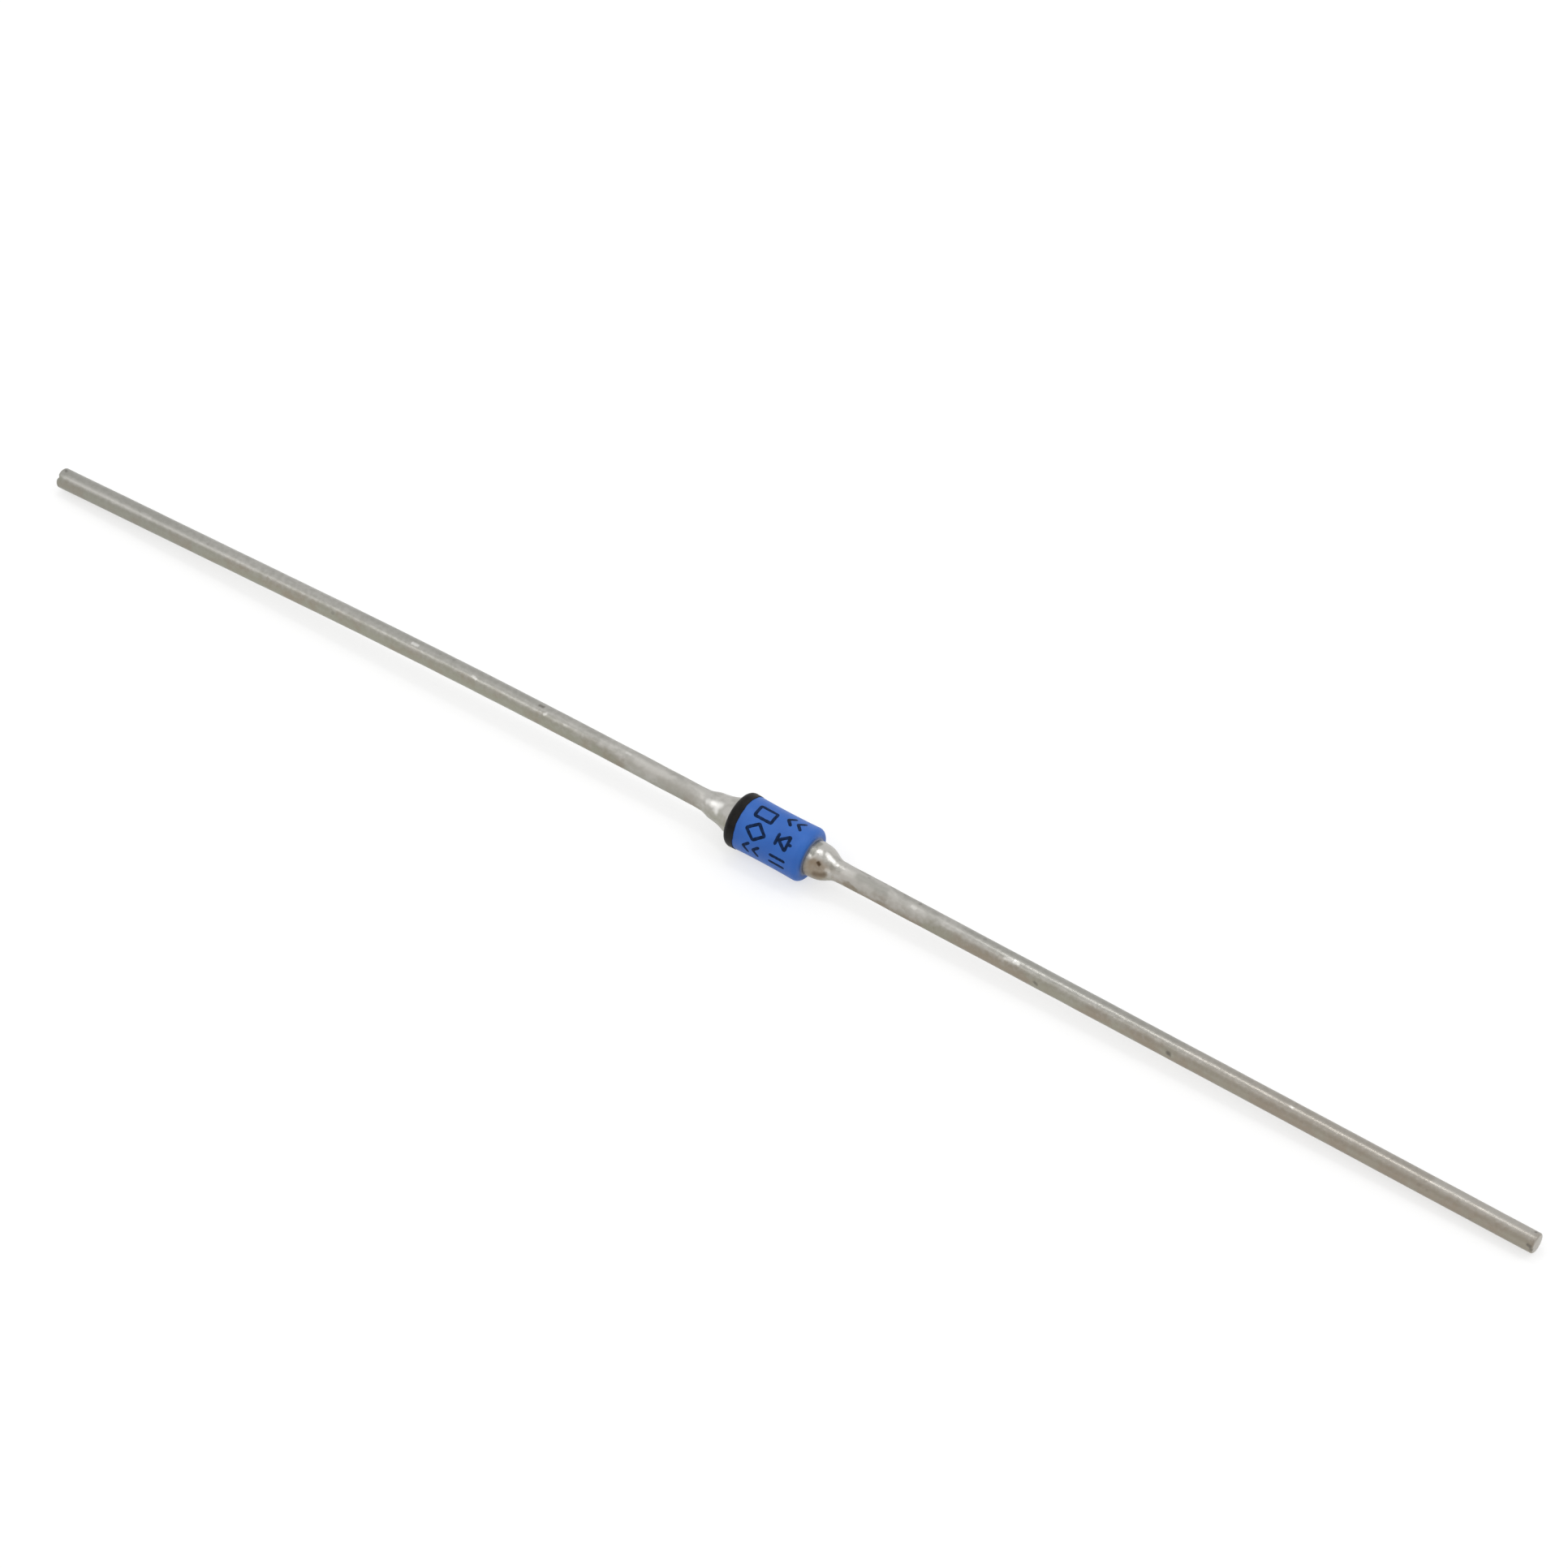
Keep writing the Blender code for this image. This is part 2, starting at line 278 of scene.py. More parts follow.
# Blue enamel coat
# Baked enamel, sprayed over the glass while the wires turn, so that it pulls back from the
# middle and rounds the shoulders. It is satin, a little uneven, and thins at its edges.

BODY_LENGTH = 3.11 * MM
SHOULDER_RADIUS = 0.22 * MM
WAIST_DEPTH = 0.025 * MM
ENAMEL_THICKNESS = 0.05 * MM
BODY_TILT = math.radians(0.9)
COAT_HOLE_RADIUS = 0.641 * MM
COAT_LIP_RADIUS = 0.66 * MM
COAT_SIDES = 144
SHOULDER_STEPS = 14
WALL_STEPS = 30
SWELL_HEIGHT = 0.004 * MM
SWELL_INWARD = 0.9
SWELL_WAVES = ((2, 1.0, 1.0, 0.5), (3, 0.0, -2.1, 0.3), (5, 0.0, 3.3, 0.2))
MERGE_WITHIN = 0.0001 * MM
LIP_HEIGHT = 0.045 * MM
LIP_INNER_HEIGHT = 0.036 * MM
LIP_WIDTH = 0.10 * MM
LIP_HOLLOW = 2.4
LIP_STEPS = 8
THIN_REACH = 0.14 * MM

ENAMEL_BLUE = (0.015, 0.127, 0.500, 1.0)
ENAMEL_DEEP = (0.011, 0.108, 0.450, 1.0)
ENAMEL_THIN = (0.120, 0.145, 0.215, 1.0)

coat_low, coat_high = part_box("blue_enamel_coat")
BODY_RADIUS = (coat_high.y - coat_low.y) / 2
BODY_HEIGHT = (coat_low.z + coat_high.z) / 2
FACE_Z = BODY_LENGTH / 2
CORNER_Z = FACE_Z - SHOULDER_RADIUS
LAID_DOWN = Matrix.Rotation(math.radians(90) + BODY_TILT, 4, "Y")
DIODE_AXIS = Matrix.Translation((0.0, 0.0, BODY_HEIGHT)) @ LAID_DOWN


def wall_radius(z):
    """The coat's outer radius on its straight stretch, which is a little waisted."""
    return BODY_RADIUS - WAIST_DEPTH * max(0.0, 1 - (z / CORNER_Z) ** 2)


def mirrored(points):
    """The (radius, height) points as they are at the body's other end, last point first."""
    return [(radius, -z) for radius, z in reversed(points)]


def coat_outline(inset, hole_radius):
    """(radius, height) points from the anode face to the cathode face, moved in by inset."""
    corner = SHOULDER_RADIUS - inset
    arc = []
    for step in range(SHOULDER_STEPS + 1):
        turn = math.radians(90) * step / SHOULDER_STEPS
        radius = BODY_RADIUS - SHOULDER_RADIUS + corner * math.sin(turn)
        arc.append((radius, CORNER_Z + corner * math.cos(turn)))
    wall = []
    for step in range(1, WALL_STEPS):
        z = CORNER_Z * (1 - 2 * step / WALL_STEPS)
        wall.append((wall_radius(z) - inset, z))
    face = [(hole_radius, FACE_Z - inset)]
    return face + arc + wall + mirrored(arc) + mirrored(face)


def drawn_up_lip():
    """The enamel that was drawn up round the solder, from its top out to the flat face."""
    lip = [(COAT_HOLE_RADIUS, FACE_Z + LIP_INNER_HEIGHT)]
    for step in range(LIP_STEPS + 1):
        share = step / LIP_STEPS
        height = LIP_HEIGHT * (1 - share) ** LIP_HOLLOW
        lip.append((COAT_LIP_RADIUS + LIP_WIDTH * share, FACE_Z + height))
    return lip


def waves_round(waves, turn, along=0.0):
    """Waves round the body added up. Each has its count, start, twist along X and share."""
    return sum(
        share * math.sin(count * turn + start + twist * along) for count, start, twist, share in waves
    )


def out_of_round(point):
    """Moves a point of the body out by the enamel's slow unevenness at that place."""
    turn = math.atan2(point.y, point.x)
    swell = waves_round(SWELL_WAVES, turn, point.z / FACE_Z)
    radius = math.hypot(point.x, point.y)
    push = 1 + SWELL_HEIGHT * (swell - SWELL_INWARD) / radius
    return Vector((point.x * push, point.y * push, point.z))


def put_in_scene(name, data):
    """A new object in the scene, which holds a mesh, a light or a camera."""
    placed = bpy.data.objects.new(name, data)
    bpy.context.scene.collection.objects.link(placed)
    return placed


def take_mesh(maker):
    """The mesh that an object's modifiers make. The object itself goes."""
    graph = bpy.context.evaluated_depsgraph_get()
    mesh = bpy.data.meshes.new_from_object(maker.evaluated_get(graph))
    bpy.data.objects.remove(maker)
    return mesh


def turned_mesh(name, outline, sides):
    """A closed mesh turned about local Z from a closed (radius, height) outline."""
    profile = bpy.data.meshes.new(name)
    count = len(outline)
    points = [(radius, 0.0, z) for radius, z in outline]
    profile.from_pydata(points, [(i, (i + 1) % count) for i in range(count)], [])
    lathe = put_in_scene(name, profile)
    screw = lathe.modifiers.new("turn", "SCREW")
    screw.axis = "Z"
    screw.steps = sides
    screw.render_steps = sides
    screw.use_merge_vertices = True
    screw.merge_threshold = MERGE_WITHIN
    return take_mesh(lathe)


def add_piece(name, mesh, material, slot, *nodes):
    """Puts a finished mesh in the scene in place of its CAD nodes, riding on the one body."""
    mesh.name = name
    mesh.materials.clear()
    mesh.materials.append(material)
    mesh.shade_smooth()
    piece = put_in_scene(name, mesh)
    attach(piece, "root")
    if nodes:
        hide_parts(*nodes)
    return piece


blue_enamel, tree, shader, grain = new_finish(
    "blue_enamel",
    patch=0.8 * MM,
    grain=0.05 * MM,
    speck=0.16 * MM,
    seed=11.0,
    Specular_IOR_Level=0.50,
)
place = add(tree, "ShaderNodeTexCoord").outputs["Object"]
from_middle = vector_work(tree, "SUBTRACT", place, (0.0, 0.0, BODY_HEIGHT))[0]
axis = DIODE_AXIS.to_3x3() @ Vector((0.0, 0.0, 1.0))
off_axis = vector_work(tree, "CROSS_PRODUCT", from_middle, axis)[0]
off_axis = vector_work(tree, "LENGTH", off_axis)[1]
thinned = soft_step(tree, off_axis, COAT_LIP_RADIUS + THIN_REACH, COAT_LIP_RADIUS)
mottled = blend_colours(tree, grain["Patches"], ENAMEL_BLUE, ENAMEL_DEEP)
tree.links.new(blend_colours(tree, thinned, mottled, ENAMEL_THIN), shader.inputs["Base Color"])
tree.links.new(spread(tree, grain["Grain"], 0.40, 0.54), shader.inputs["Roughness"])
raise_surface(tree, shader, grain["Grain"], depth=0.0015 * MM)

lip = drawn_up_lip()
outside = lip + coat_outline(0.0, COAT_HOLE_RADIUS)[1:-1] + mirrored(lip)
inside = coat_outline(ENAMEL_THICKNESS, COAT_HOLE_RADIUS)
coat = turned_mesh("blue_enamel_coat_skin", outside + inside[::-1], COAT_SIDES)
for vertex in coat.vertices:
    vertex.co = out_of_round(vertex.co)
coat.transform(DIODE_AXIS)
add_piece("blue_enamel_coat_skin", coat, blue_enamel, "blue_enamel", "blue_enamel_coat")


# Cathode band
# A ring of black paint rolled on round the cathode end, over the shoulder as far as the
# solder. It stands a little proud of the enamel, and its edge wanders where the brush ran.

BAND_WIDTH = 0.44 * MM
BAND_THICKNESS = 0.018 * MM
BAND_FACE_RADIUS = 0.70 * MM
BAND_EDGE_WANDER = 0.022 * MM
BAND_EDGE_WAVES = ((3, 0.6, 0.0, 0.5), (7, 2.0, 0.0, 0.3), (17, 0.0, 0.0, 0.2))
BAND_SINK = 0.004 * MM
PAINT_BLACK = (0.0060, 0.0052, 0.0050, 1.0)
PAINT_WORN = (0.0130, 0.0112, 0.0100, 1.0)


def band_outline(lift):
    """The stretch of the coat's outline under the band, moved out by lift."""
    edge_z = BAND_WIDTH - FACE_Z
    covered = [point for point in coat_outline(-lift, BAND_FACE_RADIUS) if point[1] < edge_z]
    return [(wall_radius(edge_z) + lift, edge_z)] + covered


band_ink = mottled_finish(
    "band_ink",
    colours=(PAINT_BLACK, PAINT_WORN),
    roughness=(0.38, 0.58),
    bump_depth=0.003 * MM,
    patch=0.4 * MM,
    grain=0.04 * MM,
    speck=0.12 * MM,
    seed=13.0,
    Specular_IOR_Level=0.13,
)

sunk = band_outline(-BAND_SINK)[::-1]
band = turned_mesh("cathode_band_paint", band_outline(BAND_THICKNESS) + sunk, COAT_SIDES)
for vertex in band.vertices:
    turn = math.atan2(vertex.co.y, vertex.co.x)
    share = max(0.0, (vertex.co.z + CORNER_Z) / (BAND_WIDTH - FACE_Z + CORNER_Z))
    vertex.co.z += BAND_EDGE_WANDER * waves_round(BAND_EDGE_WAVES, turn) * share
    vertex.co = out_of_round(vertex.co)
band.transform(DIODE_AXIS)
add_piece("cathode_band_paint", band, band_ink, "band_ink", "cathode_band")


# Printed marks
# Two rows of plain marks, stamped round the body in dark ink: bars, outlines and the sign
# for a diode, whose arrow points at the band. The ink lies on the enamel and is uneven.

STROKE_WIDTH = 0.122 * MM
INK_HEIGHT = 0.005 * MM
CORNER_ROUNDING = 0.03 * MM
STROKE_STEP = 0.022 * MM
STROKE_END = 0.15
STROKE_WAVES = 9.0 / MM
MARK_LENGTH = 0.80 * MM
MARK_WIDTH = 0.60 * MM
ROW_PLACES = {"near_band": -0.345 * MM, "near_anode": 0.73 * MM}
VIEWED_SIDE = math.radians(54.0)
INK_NAVY = (0.0020, 0.0110, 0.0360, 1.0)
INK_WORN = (0.0045, 0.0220, 0.0850, 1.0)


def open_group(name):
    """A Geometry Nodes tree with a geometry in and out."""
    group = bpy.data.node_groups.new(name, "GeometryNodeTree")
    name_sockets(group, "INPUT", ["Geometry"], "NodeSocketGeometry")
    name_sockets(group, "OUTPUT", ["Geometry"], "NodeSocketGeometry")
    return group


def close_group(group, geometry, material):
    """Ends a tree: smooth shading, plain geometry and the piece's material."""
    smooth = add(group, "GeometryNodeSetShadeSmooth", {"Geometry": geometry})
    plain = add(group, "GeometryNodeRealizeInstances", {"Geometry": smooth.outputs[0]})
    dressed = add(group, "GeometryNodeSetMaterial", {"Geometry": plain.outputs[0], "Material": material})
    add(group, "NodeGroupOutput", {"Geometry": dressed.outputs[0]})


def make_stroke_tree():
    """Strokes of ink along flat lines, X along the body and Y round it, rolled on to the coat."""
    group = open_group("ink_strokes")
    name_sockets(group, "INPUT", ["Stroke Width", "Ink Height", "Corner", "Step", "Unevenness"])
    name_sockets(group, "INPUT", ["Body Radius", "Waist Depth", "Waist Reach", "Middle Angle", "Seed"])
    name_sockets(group, "INPUT", ["Material"], "NodeSocketMaterial")
    given = add(group, "NodeGroupInput").outputs

    line = add(group, "GeometryNodeMeshToCurve", {"Mesh": given["Geometry"]})
    corners = {"Curve": line.outputs[0], "Count": 5, "Radius": given["Corner"]}
    rounded = add(group, "GeometryNodeFilletCurve", {**corners, "Limit Radius": True}, mode="POLY")
    steps = {"Curve": rounded.outputs[0], "Length": given["Step"]}
    stepped = add(group, "GeometryNodeResampleCurve", steps, mode="LENGTH")
    along = add(group, "GeometryNodeSplineParameter").outputs["Length"]
    whole = add(group, "GeometryNodeSplineLength").outputs["Length"]
    closed = add(group, "GeometryNodeInputSplineCyclic").outputs[0]
    to_end = work(group, "MINIMUM", along, work(group, "SUBTRACT", whole, along))
    near_end = work(group, "MINIMUM", work(group, "DIVIDE", to_end, given["Stroke Width"]), 0.5)
    rounding = work(group, "MULTIPLY_ADD", near_end, 2 * (1 - STROKE_END), STROKE_END)
    rounding = work(group, "POWER", rounding, 0.5)
    ends = work(group, "MINIMUM", work(group, "MAXIMUM", rounding, closed), 1.0)
    wavy = noise(group, W=given["Seed"], Scale=STROKE_WAVES, Detail=2.0)
    wobble = work(group, "MULTIPLY_ADD", work(group, "SUBTRACT", wavy, 0.5), given["Unevenness"], 1.0)
    half = work(group, "MULTIPLY", given["Stroke Width"], 0.5)
    scale = work(group, "MULTIPLY", work(group, "MULTIPLY", half, wobble), ends)
    profile = add(group, "GeometryNodeCurvePrimitiveCircle", {"Resolution": 12, "Radius": 1.0})
    swept = {"Curve": stepped.outputs[0], "Profile Curve": profile.outputs[0], "Scale": scale}
    bar = add(group, "GeometryNodeCurveToMesh", {**swept, "Fill Caps": True})
    place = add(group, "GeometryNodeInputPosition").outputs[0]
    flat = add(group, "ShaderNodeSeparateXYZ", {0: place}).outputs
    lift = work(group, "DIVIDE", work(group, "MULTIPLY", flat[2], given["Ink Height"]), half)
    share = work(group, "POWER", work(group, "DIVIDE", flat[0], given["Waist Reach"]), 2.0)
    waist = work(group, "MULTIPLY", given["Waist Depth"], work(group, "SUBTRACT", 1.0, share))
    radius = work(group, "ADD", work(group, "SUBTRACT", given["Body Radius"], waist), lift)
    turned = work(group, "DIVIDE", flat[1], given["Body Radius"])
    angle = work(group, "SUBTRACT", given["Middle Angle"], turned)
    inward = work(group, "MULTIPLY", radius, -1.0)
    x = work(group, "MULTIPLY", inward, work(group, "SINE", angle))
    y = work(group, "MULTIPLY", inward, work(group, "COSINE", angle))
    rolled = add(group, "ShaderNodeCombineXYZ", {"X": x, "Y": y, "Z": flat[0]})
    laid = {"Geometry": bar.outputs[0], "Position": rolled.outputs[0]}
    laid = add(group, "GeometryNodeSetPosition", laid)
    close_group(group, laid.outputs[0], given["Material"])
    return group


def grow(name, tree, points, edges, values, attributes=None):
    """Runs a tree on points and edges with the given inputs, and returns the mesh that it makes."""
    guide = bpy.data.meshes.new(name)
    guide.from_pydata(points, edges, [])
    for attribute, numbers in (attributes or {}).items():
        layer = guide.attributes.new(attribute, "FLOAT", "POINT")
        layer.data.foreach_set("value", numbers)
    grown = put_in_scene(name, guide)
    modifier = grown.modifiers.new(name, "NODES")
    modifier.node_group = tree
    for socket in tree.interface.items_tree:
        if socket.in_out == "INPUT" and socket.name in values:
            modifier[socket.identifier] = values[socket.name]
    return take_mesh(grown)


def place_marks(row_z, turn, strokes):
    """Strokes moved to their row and turned round the body, as points and edges."""
    shift = turn * BODY_RADIUS
    points = []
    edges = []
    for corners, closed in strokes:
        first = len(points)
        points += [(row_z + x, shift + y, 0.0) for x, y in corners]
        edges += [(first + i, first + i + 1) for i in range(len(corners) - 1)]
        if closed:
            edges.append((len(points) - 1, first))
    return points, edges


ink = mottled_finish(
    "mark_ink",
    colours=(INK_NAVY, INK_WORN),
    roughness=(0.40, 0.60),
    bump_depth=0.002 * MM,
    patch=0.10 * MM,
    grain=0.025 * MM,
    speck=0.05 * MM,
    seed=17.0,
    Specular_IOR_Level=0.09,
)

reach = MARK_LENGTH / 2 - STROKE_WIDTH / 2
half = MARK_WIDTH / 2 - STROKE_WIDTH / 2
square = [([(-reach, -half), (reach, -half), (reach, half), (-reach, half)], True)]
diamond = [([(-1.1 * reach, 0.0), (0.0, -1.35 * half), (1.1 * reach, 0.0), (0.0, 1.35 * half)], True)]
twin_bars = [([(-reach, y), (reach, y)], False) for y in (-0.62 * half, 0.62 * half)]
diode_sign = [
    ([(0.58 * reach, -1.2 * half), (-0.50 * reach, 0.0), (0.58 * reach, 1.2 * half)], True),
    ([(-0.72 * reach, -half), (-0.72 * reach, half)], False),
    ([(0.58 * reach, 0.0), (1.1 * reach, 0.0)], False),
]
chevrons = [
    ([(x + 0.36 * reach, -half), (x - 0.36 * reach, 0.0), (x + 0.36 * reach, half)], False)
    for x in (-0.6 * reach, 0.6 * reach)
]
marks = [
    ("near_band", 48.7, chevrons),
    ("near_band", 8.5, diamond),
    ("near_band", -34.4, square),
    ("near_anode", 46.0, twin_bars),
    ("near_anode", 0.6, diode_sign),
    ("near_anode", -49.0, chevrons),
]
stroke_tree = make_stroke_tree()
mark_points = []
mark_edges = []
for row, degrees, strokes in marks:
    points, edges = place_marks(ROW_PLACES[row], math.radians(degrees), strokes)
    mark_edges += [(i + len(mark_points), j + len(mark_points)) for i, j in edges]
    mark_points += points
stroke_values = {
    "Stroke Width": STROKE_WIDTH,
    "Ink Height": INK_HEIGHT,
    "Corner": CORNER_ROUNDING,
    "Step": STROKE_STEP,
    "Unevenness": 0.6,
    "Body Radius": BODY_RADIUS,
    "Waist Depth": WAIST_DEPTH,
    "Waist Reach": CORNER_Z,
    "Middle Angle": VIEWED_SIDE,
    "Seed": 4.0,
    "Material": ink,
}
printed = grow("printed_marks", stroke_tree, mark_points, mark_edges, stroke_values)
for vertex in printed.vertices:
    vertex.co = out_of_round(vertex.co)
printed.transform(DIODE_AXIS)
add_piece("printed_marks", printed, ink, "band_ink")


# Wire leads
# Copper wire, dipped in molten tin and lead, which sets in low lumps and dull patches. Each
# is soldered to its pin, bends a little under its own weight and ends in a sheared face.

LEAD_DIAMETER = 0.76 * MM
ANODE_LEAD_LENGTH = 29.3 * MM
CATHODE_LEAD_LENGTH = 29.94 * MM
ANODE_BEND_START = 2.2 * MM
ANODE_BEND_LENGTH = 24.0 * MM
CATHODE_BEND_START = 3.5 * MM
CATHODE_BEND_LENGTH = 15.0 * MM
LEAD_SEAT = 0.062 * MM
TIP_ROUNDING = 0.09 * MM
TIP_LIFT = 0.10 * MM
TIP_DOME = 0.010 * MM
BEND_TRIES = 8
RING_STEP = 0.05 * MM
RING_NUDGE = 0.0005 * MM
ROUNDING_STEPS = 8
DOME_STEPS = 14
LEAD_SIDES = 56
LEAD_RADIUS = LEAD_DIAMETER / 2

LUMPS_START = 1.7 * MM
LUMPS_RISE = 0.5 * MM
LUMPS_REACH = 4.0 * MM
LUMPS_FAR = 0.35
LUMPS_NEAR = 0.9
LUMPS_ON_RIM = 0.8
LUMPS_ON_CUT = 0.7

CREASE_WIDTH = 0.13 * MM
CREASE_DEPTH = 0.0675 * MM
CREASE_OFFSET = 0.05 * MM
CREASE_SHARPNESS = 1.5
HEADING_RINGS = 20
CREASE_ANGLE = math.radians(54.0)

TIN_DULL = (0.330, 0.323, 0.298, 1.0)
TIN_PALE = (0.475, 0.463, 0.436, 1.0)
# Grey of painted shade, which dims highlights, the wires' upper side and the cathode wire's far end.
PAINTED_SHADE_GREY = (0.265, 0.262, 0.236, 1.0)
TIN_ROSY = (0.305, 0.262, 0.216, 1.0)
# Two darker, warmer tones of painted shade for the lower front side of the wires and beads.
ANODE_UNDERSIDE_SHADE = (0.285, 0.246, 0.193, 1.0)
CATHODE_UNDERSIDE_SHADE = (0.306, 0.301, 0.244, 1.0)
PIT_GREY = (0.120, 0.110, 0.098, 1.0)
# Near-white colour of painted highlights and glints on the tin and the solder.
PAINTED_HIGHLIGHT = (0.860, 0.850, 0.820, 1.0)
CUT_BRIGHT = (0.500, 0.490, 0.450, 1.0)
# Blue-grey of painted shade and reflected enamel where the solder meets the body.
JUNCTION_SHADE_BLUE = (0.150, 0.160, 0.190, 1.0)
PALE_WITHIN = 3.0 * MM
DULL_BEYOND = 9.5 * MM
DULL_SHARE = 0.12
PATCH_EDGE = (0.22, 0.78)
PATCH_LEAST = 0.30
MOTTLE_SIZE = 0.16 * MM
MOTTLE_EDGE = (0.36, 0.64)
MOTTLE_SHARE = 0.30
# How far round the painted underside shade reaches, and how much pale tin holds it off.
UNDERSIDE_SHADE_EDGE = (-0.55, 0.65)
UNDERSIDE_SHADE_RESISTED = -0.60
CLOUD_SIZE = 0.80 * MM
CLOUD_EDGE = (0.45, 0.62)
CLOUD_SHARE = 0.75
ANODE_PATTERN = 21.0
CATHODE_PATTERN = 23.0
SPECK_SHARE = 0.30
CUT_FROM = 29.0 * MM
CUT_EDGE = (0.75, 0.97)
JUNCTION_SHADE_WIDTH = 0.10 * MM
JUNCTION_SHADE_SHARE = 0.85
GLOSSY = 0.37
SATIN = 0.60
SATIN_RISE = (2.6 * MM, 3.5 * MM)
SATIN_FALL = (4.0 * MM, 11.0 * MM)


def make_round_metal_tree():
    """A round bar along a line of points: ring_radius sizes it and ring_lumps roughens it."""
    group = open_group("round_metal")
    name_sockets(group, "INPUT", ["Sides"], "NodeSocketInt")
    name_sockets(group, "INPUT", ["Lump Height", "Lump Size", "Lump Stretch", "Seed"])
    name_sockets(group, "INPUT", ["Material"], "NodeSocketMaterial")
    given = add(group, "NodeGroupInput").outputs
    line = add(group, "GeometryNodeMeshToCurve", {"Mesh": given["Geometry"]})
    profile = add(group, "GeometryNodeCurvePrimitiveCircle", {"Resolution": given["Sides"], "Radius": 1.0})
    radius = add(group, "GeometryNodeInputNamedAttribute", {"Name": "ring_radius"})
    radius = radius.outputs["Attribute"]
    swept = {"Curve": line.outputs[0], "Profile Curve": profile.outputs[0], "Scale": radius}
    bar = add(group, "GeometryNodeCurveToMesh", {**swept, "Fill Caps": True})
    place = add(group, "GeometryNodeInputPosition").outputs[0]
    drawn = drawn_out(group, place, given["Lump Stretch"])
    sized = vector_work(group, "DIVIDE", drawn, given["Lump Size"])[0]
    lumps = noise(group, Vector=sized, W=given["Seed"], Scale=1.0, Detail=1.0, Roughness=0.4)
    raised = {"Value": lumps, "From Min": 0.3, "From Max": 0.7, "To Min": -1.0, "To Max": 1.0}
    raised = add(group, "ShaderNodeMapRange", raised).outputs[0]
    share = add(group, "GeometryNodeInputNamedAttribute", {"Name": "ring_lumps"}).outputs["Attribute"]
    height = work(group, "MULTIPLY", work(group, "MULTIPLY", raised, share), given["Lump Height"])
    outward = add(group, "GeometryNodeInputNormal").outputs[0]
    push = add(group, "ShaderNodeVectorMath", {0: outward, "Scale": height}, operation="SCALE").outputs[0]
    lumpy = add(group, "GeometryNodeSetPosition", {"Geometry": bar.outputs[0], "Offset": push})
    close_group(group, lumpy.outputs[0], given["Material"])
    return group


def wire_rings(length):
    """(distance along the wire, radius, share of lumps) for each ring, dense at the cut end."""
    rings = [(0.0, LEAD_RADIUS * 0.6, 0.0), (RING_NUDGE, LEAD_RADIUS, 0.0)]
    straight = length - TIP_ROUNDING - TIP_DOME
    count = round(straight / RING_STEP)
    for step in range(1, count + 1):
        distance = straight * step / count
        bare = max(0.0, distance - LUMPS_START)
        share = LUMPS_FAR + LUMPS_NEAR * math.exp(-bare / LUMPS_REACH)
        rings.append((distance, LEAD_RADIUS, min(1.0, bare / LUMPS_RISE) * share))
    for step in range(1, ROUNDING_STEPS + 1):
        turn = math.radians(90) * step / ROUNDING_STEPS
        radius = LEAD_RADIUS - TIP_ROUNDING * (1 - math.cos(turn))
        rings.append((straight + TIP_ROUNDING * math.sin(turn), radius, LUMPS_ON_RIM))
    rim = LEAD_RADIUS - TIP_ROUNDING
    for step in range(1, DOME_STEPS):
        inward = 1 - step / DOME_STEPS
        rings.append((length - TIP_DOME * inward**2, rim * inward, LUMPS_ON_CUT * inward))
    return rings


def walk_wire(start, outward, distances, bend_start, bend_length, turn):
    """Points of a wire that runs straight, bends evenly down by turn and runs straight."""
    point = Vector(start)
    points = [point.copy()]
    for before, after in zip(distances, distances[1:]):
        bent = min(max(((before + after) / 2 - bend_start) / bend_length, 0.0), 1.0)
        heading = -outward * BODY_TILT - turn * bent
        point = point + (after - before) * Vector((outward * math.cos(heading), 0.0, math.sin(heading)))
        points.append(point.copy())
    return points


def lead_line(outward, length, bend_start, bend_length):
    """The wire's rings, and its line of points from the solder to the cut end."""
    start = DIODE_AXIS @ Vector((0.0, 0.0, outward * (FACE_Z + LEAD_SEAT)))
    rings = wire_rings(length - LEAD_SEAT)
    distances = [ring[0] for ring in rings]
    bend_start -= LEAD_SEAT
    lever = distances[-1] - bend_start - bend_length / 2
    turn = 0.0
    for attempt in range(BEND_TRIES):
        points = walk_wire(start, outward, distances, bend_start, bend_length, turn)
        turn += (points[-1].z - LEAD_RADIUS - TIP_LIFT) / lever
    return rings, points


def round_mesh(name, rings, points, sides, lumps, material):
    """The mesh of a round piece: lumps are their height, size, stretch along X and seed."""
    edges = [(i, i + 1) for i in range(len(points) - 1)]
    values = {"Sides": sides, "Material": material}
    values.update(zip(("Lump Height", "Lump Size", "Lump Stretch", "Seed"), lumps))
    attributes = {"ring_radius": [ring[1] for ring in rings], "ring_lumps": [ring[2] for ring in rings]}
    return grow(name, round_metal, points, edges, values, attributes)


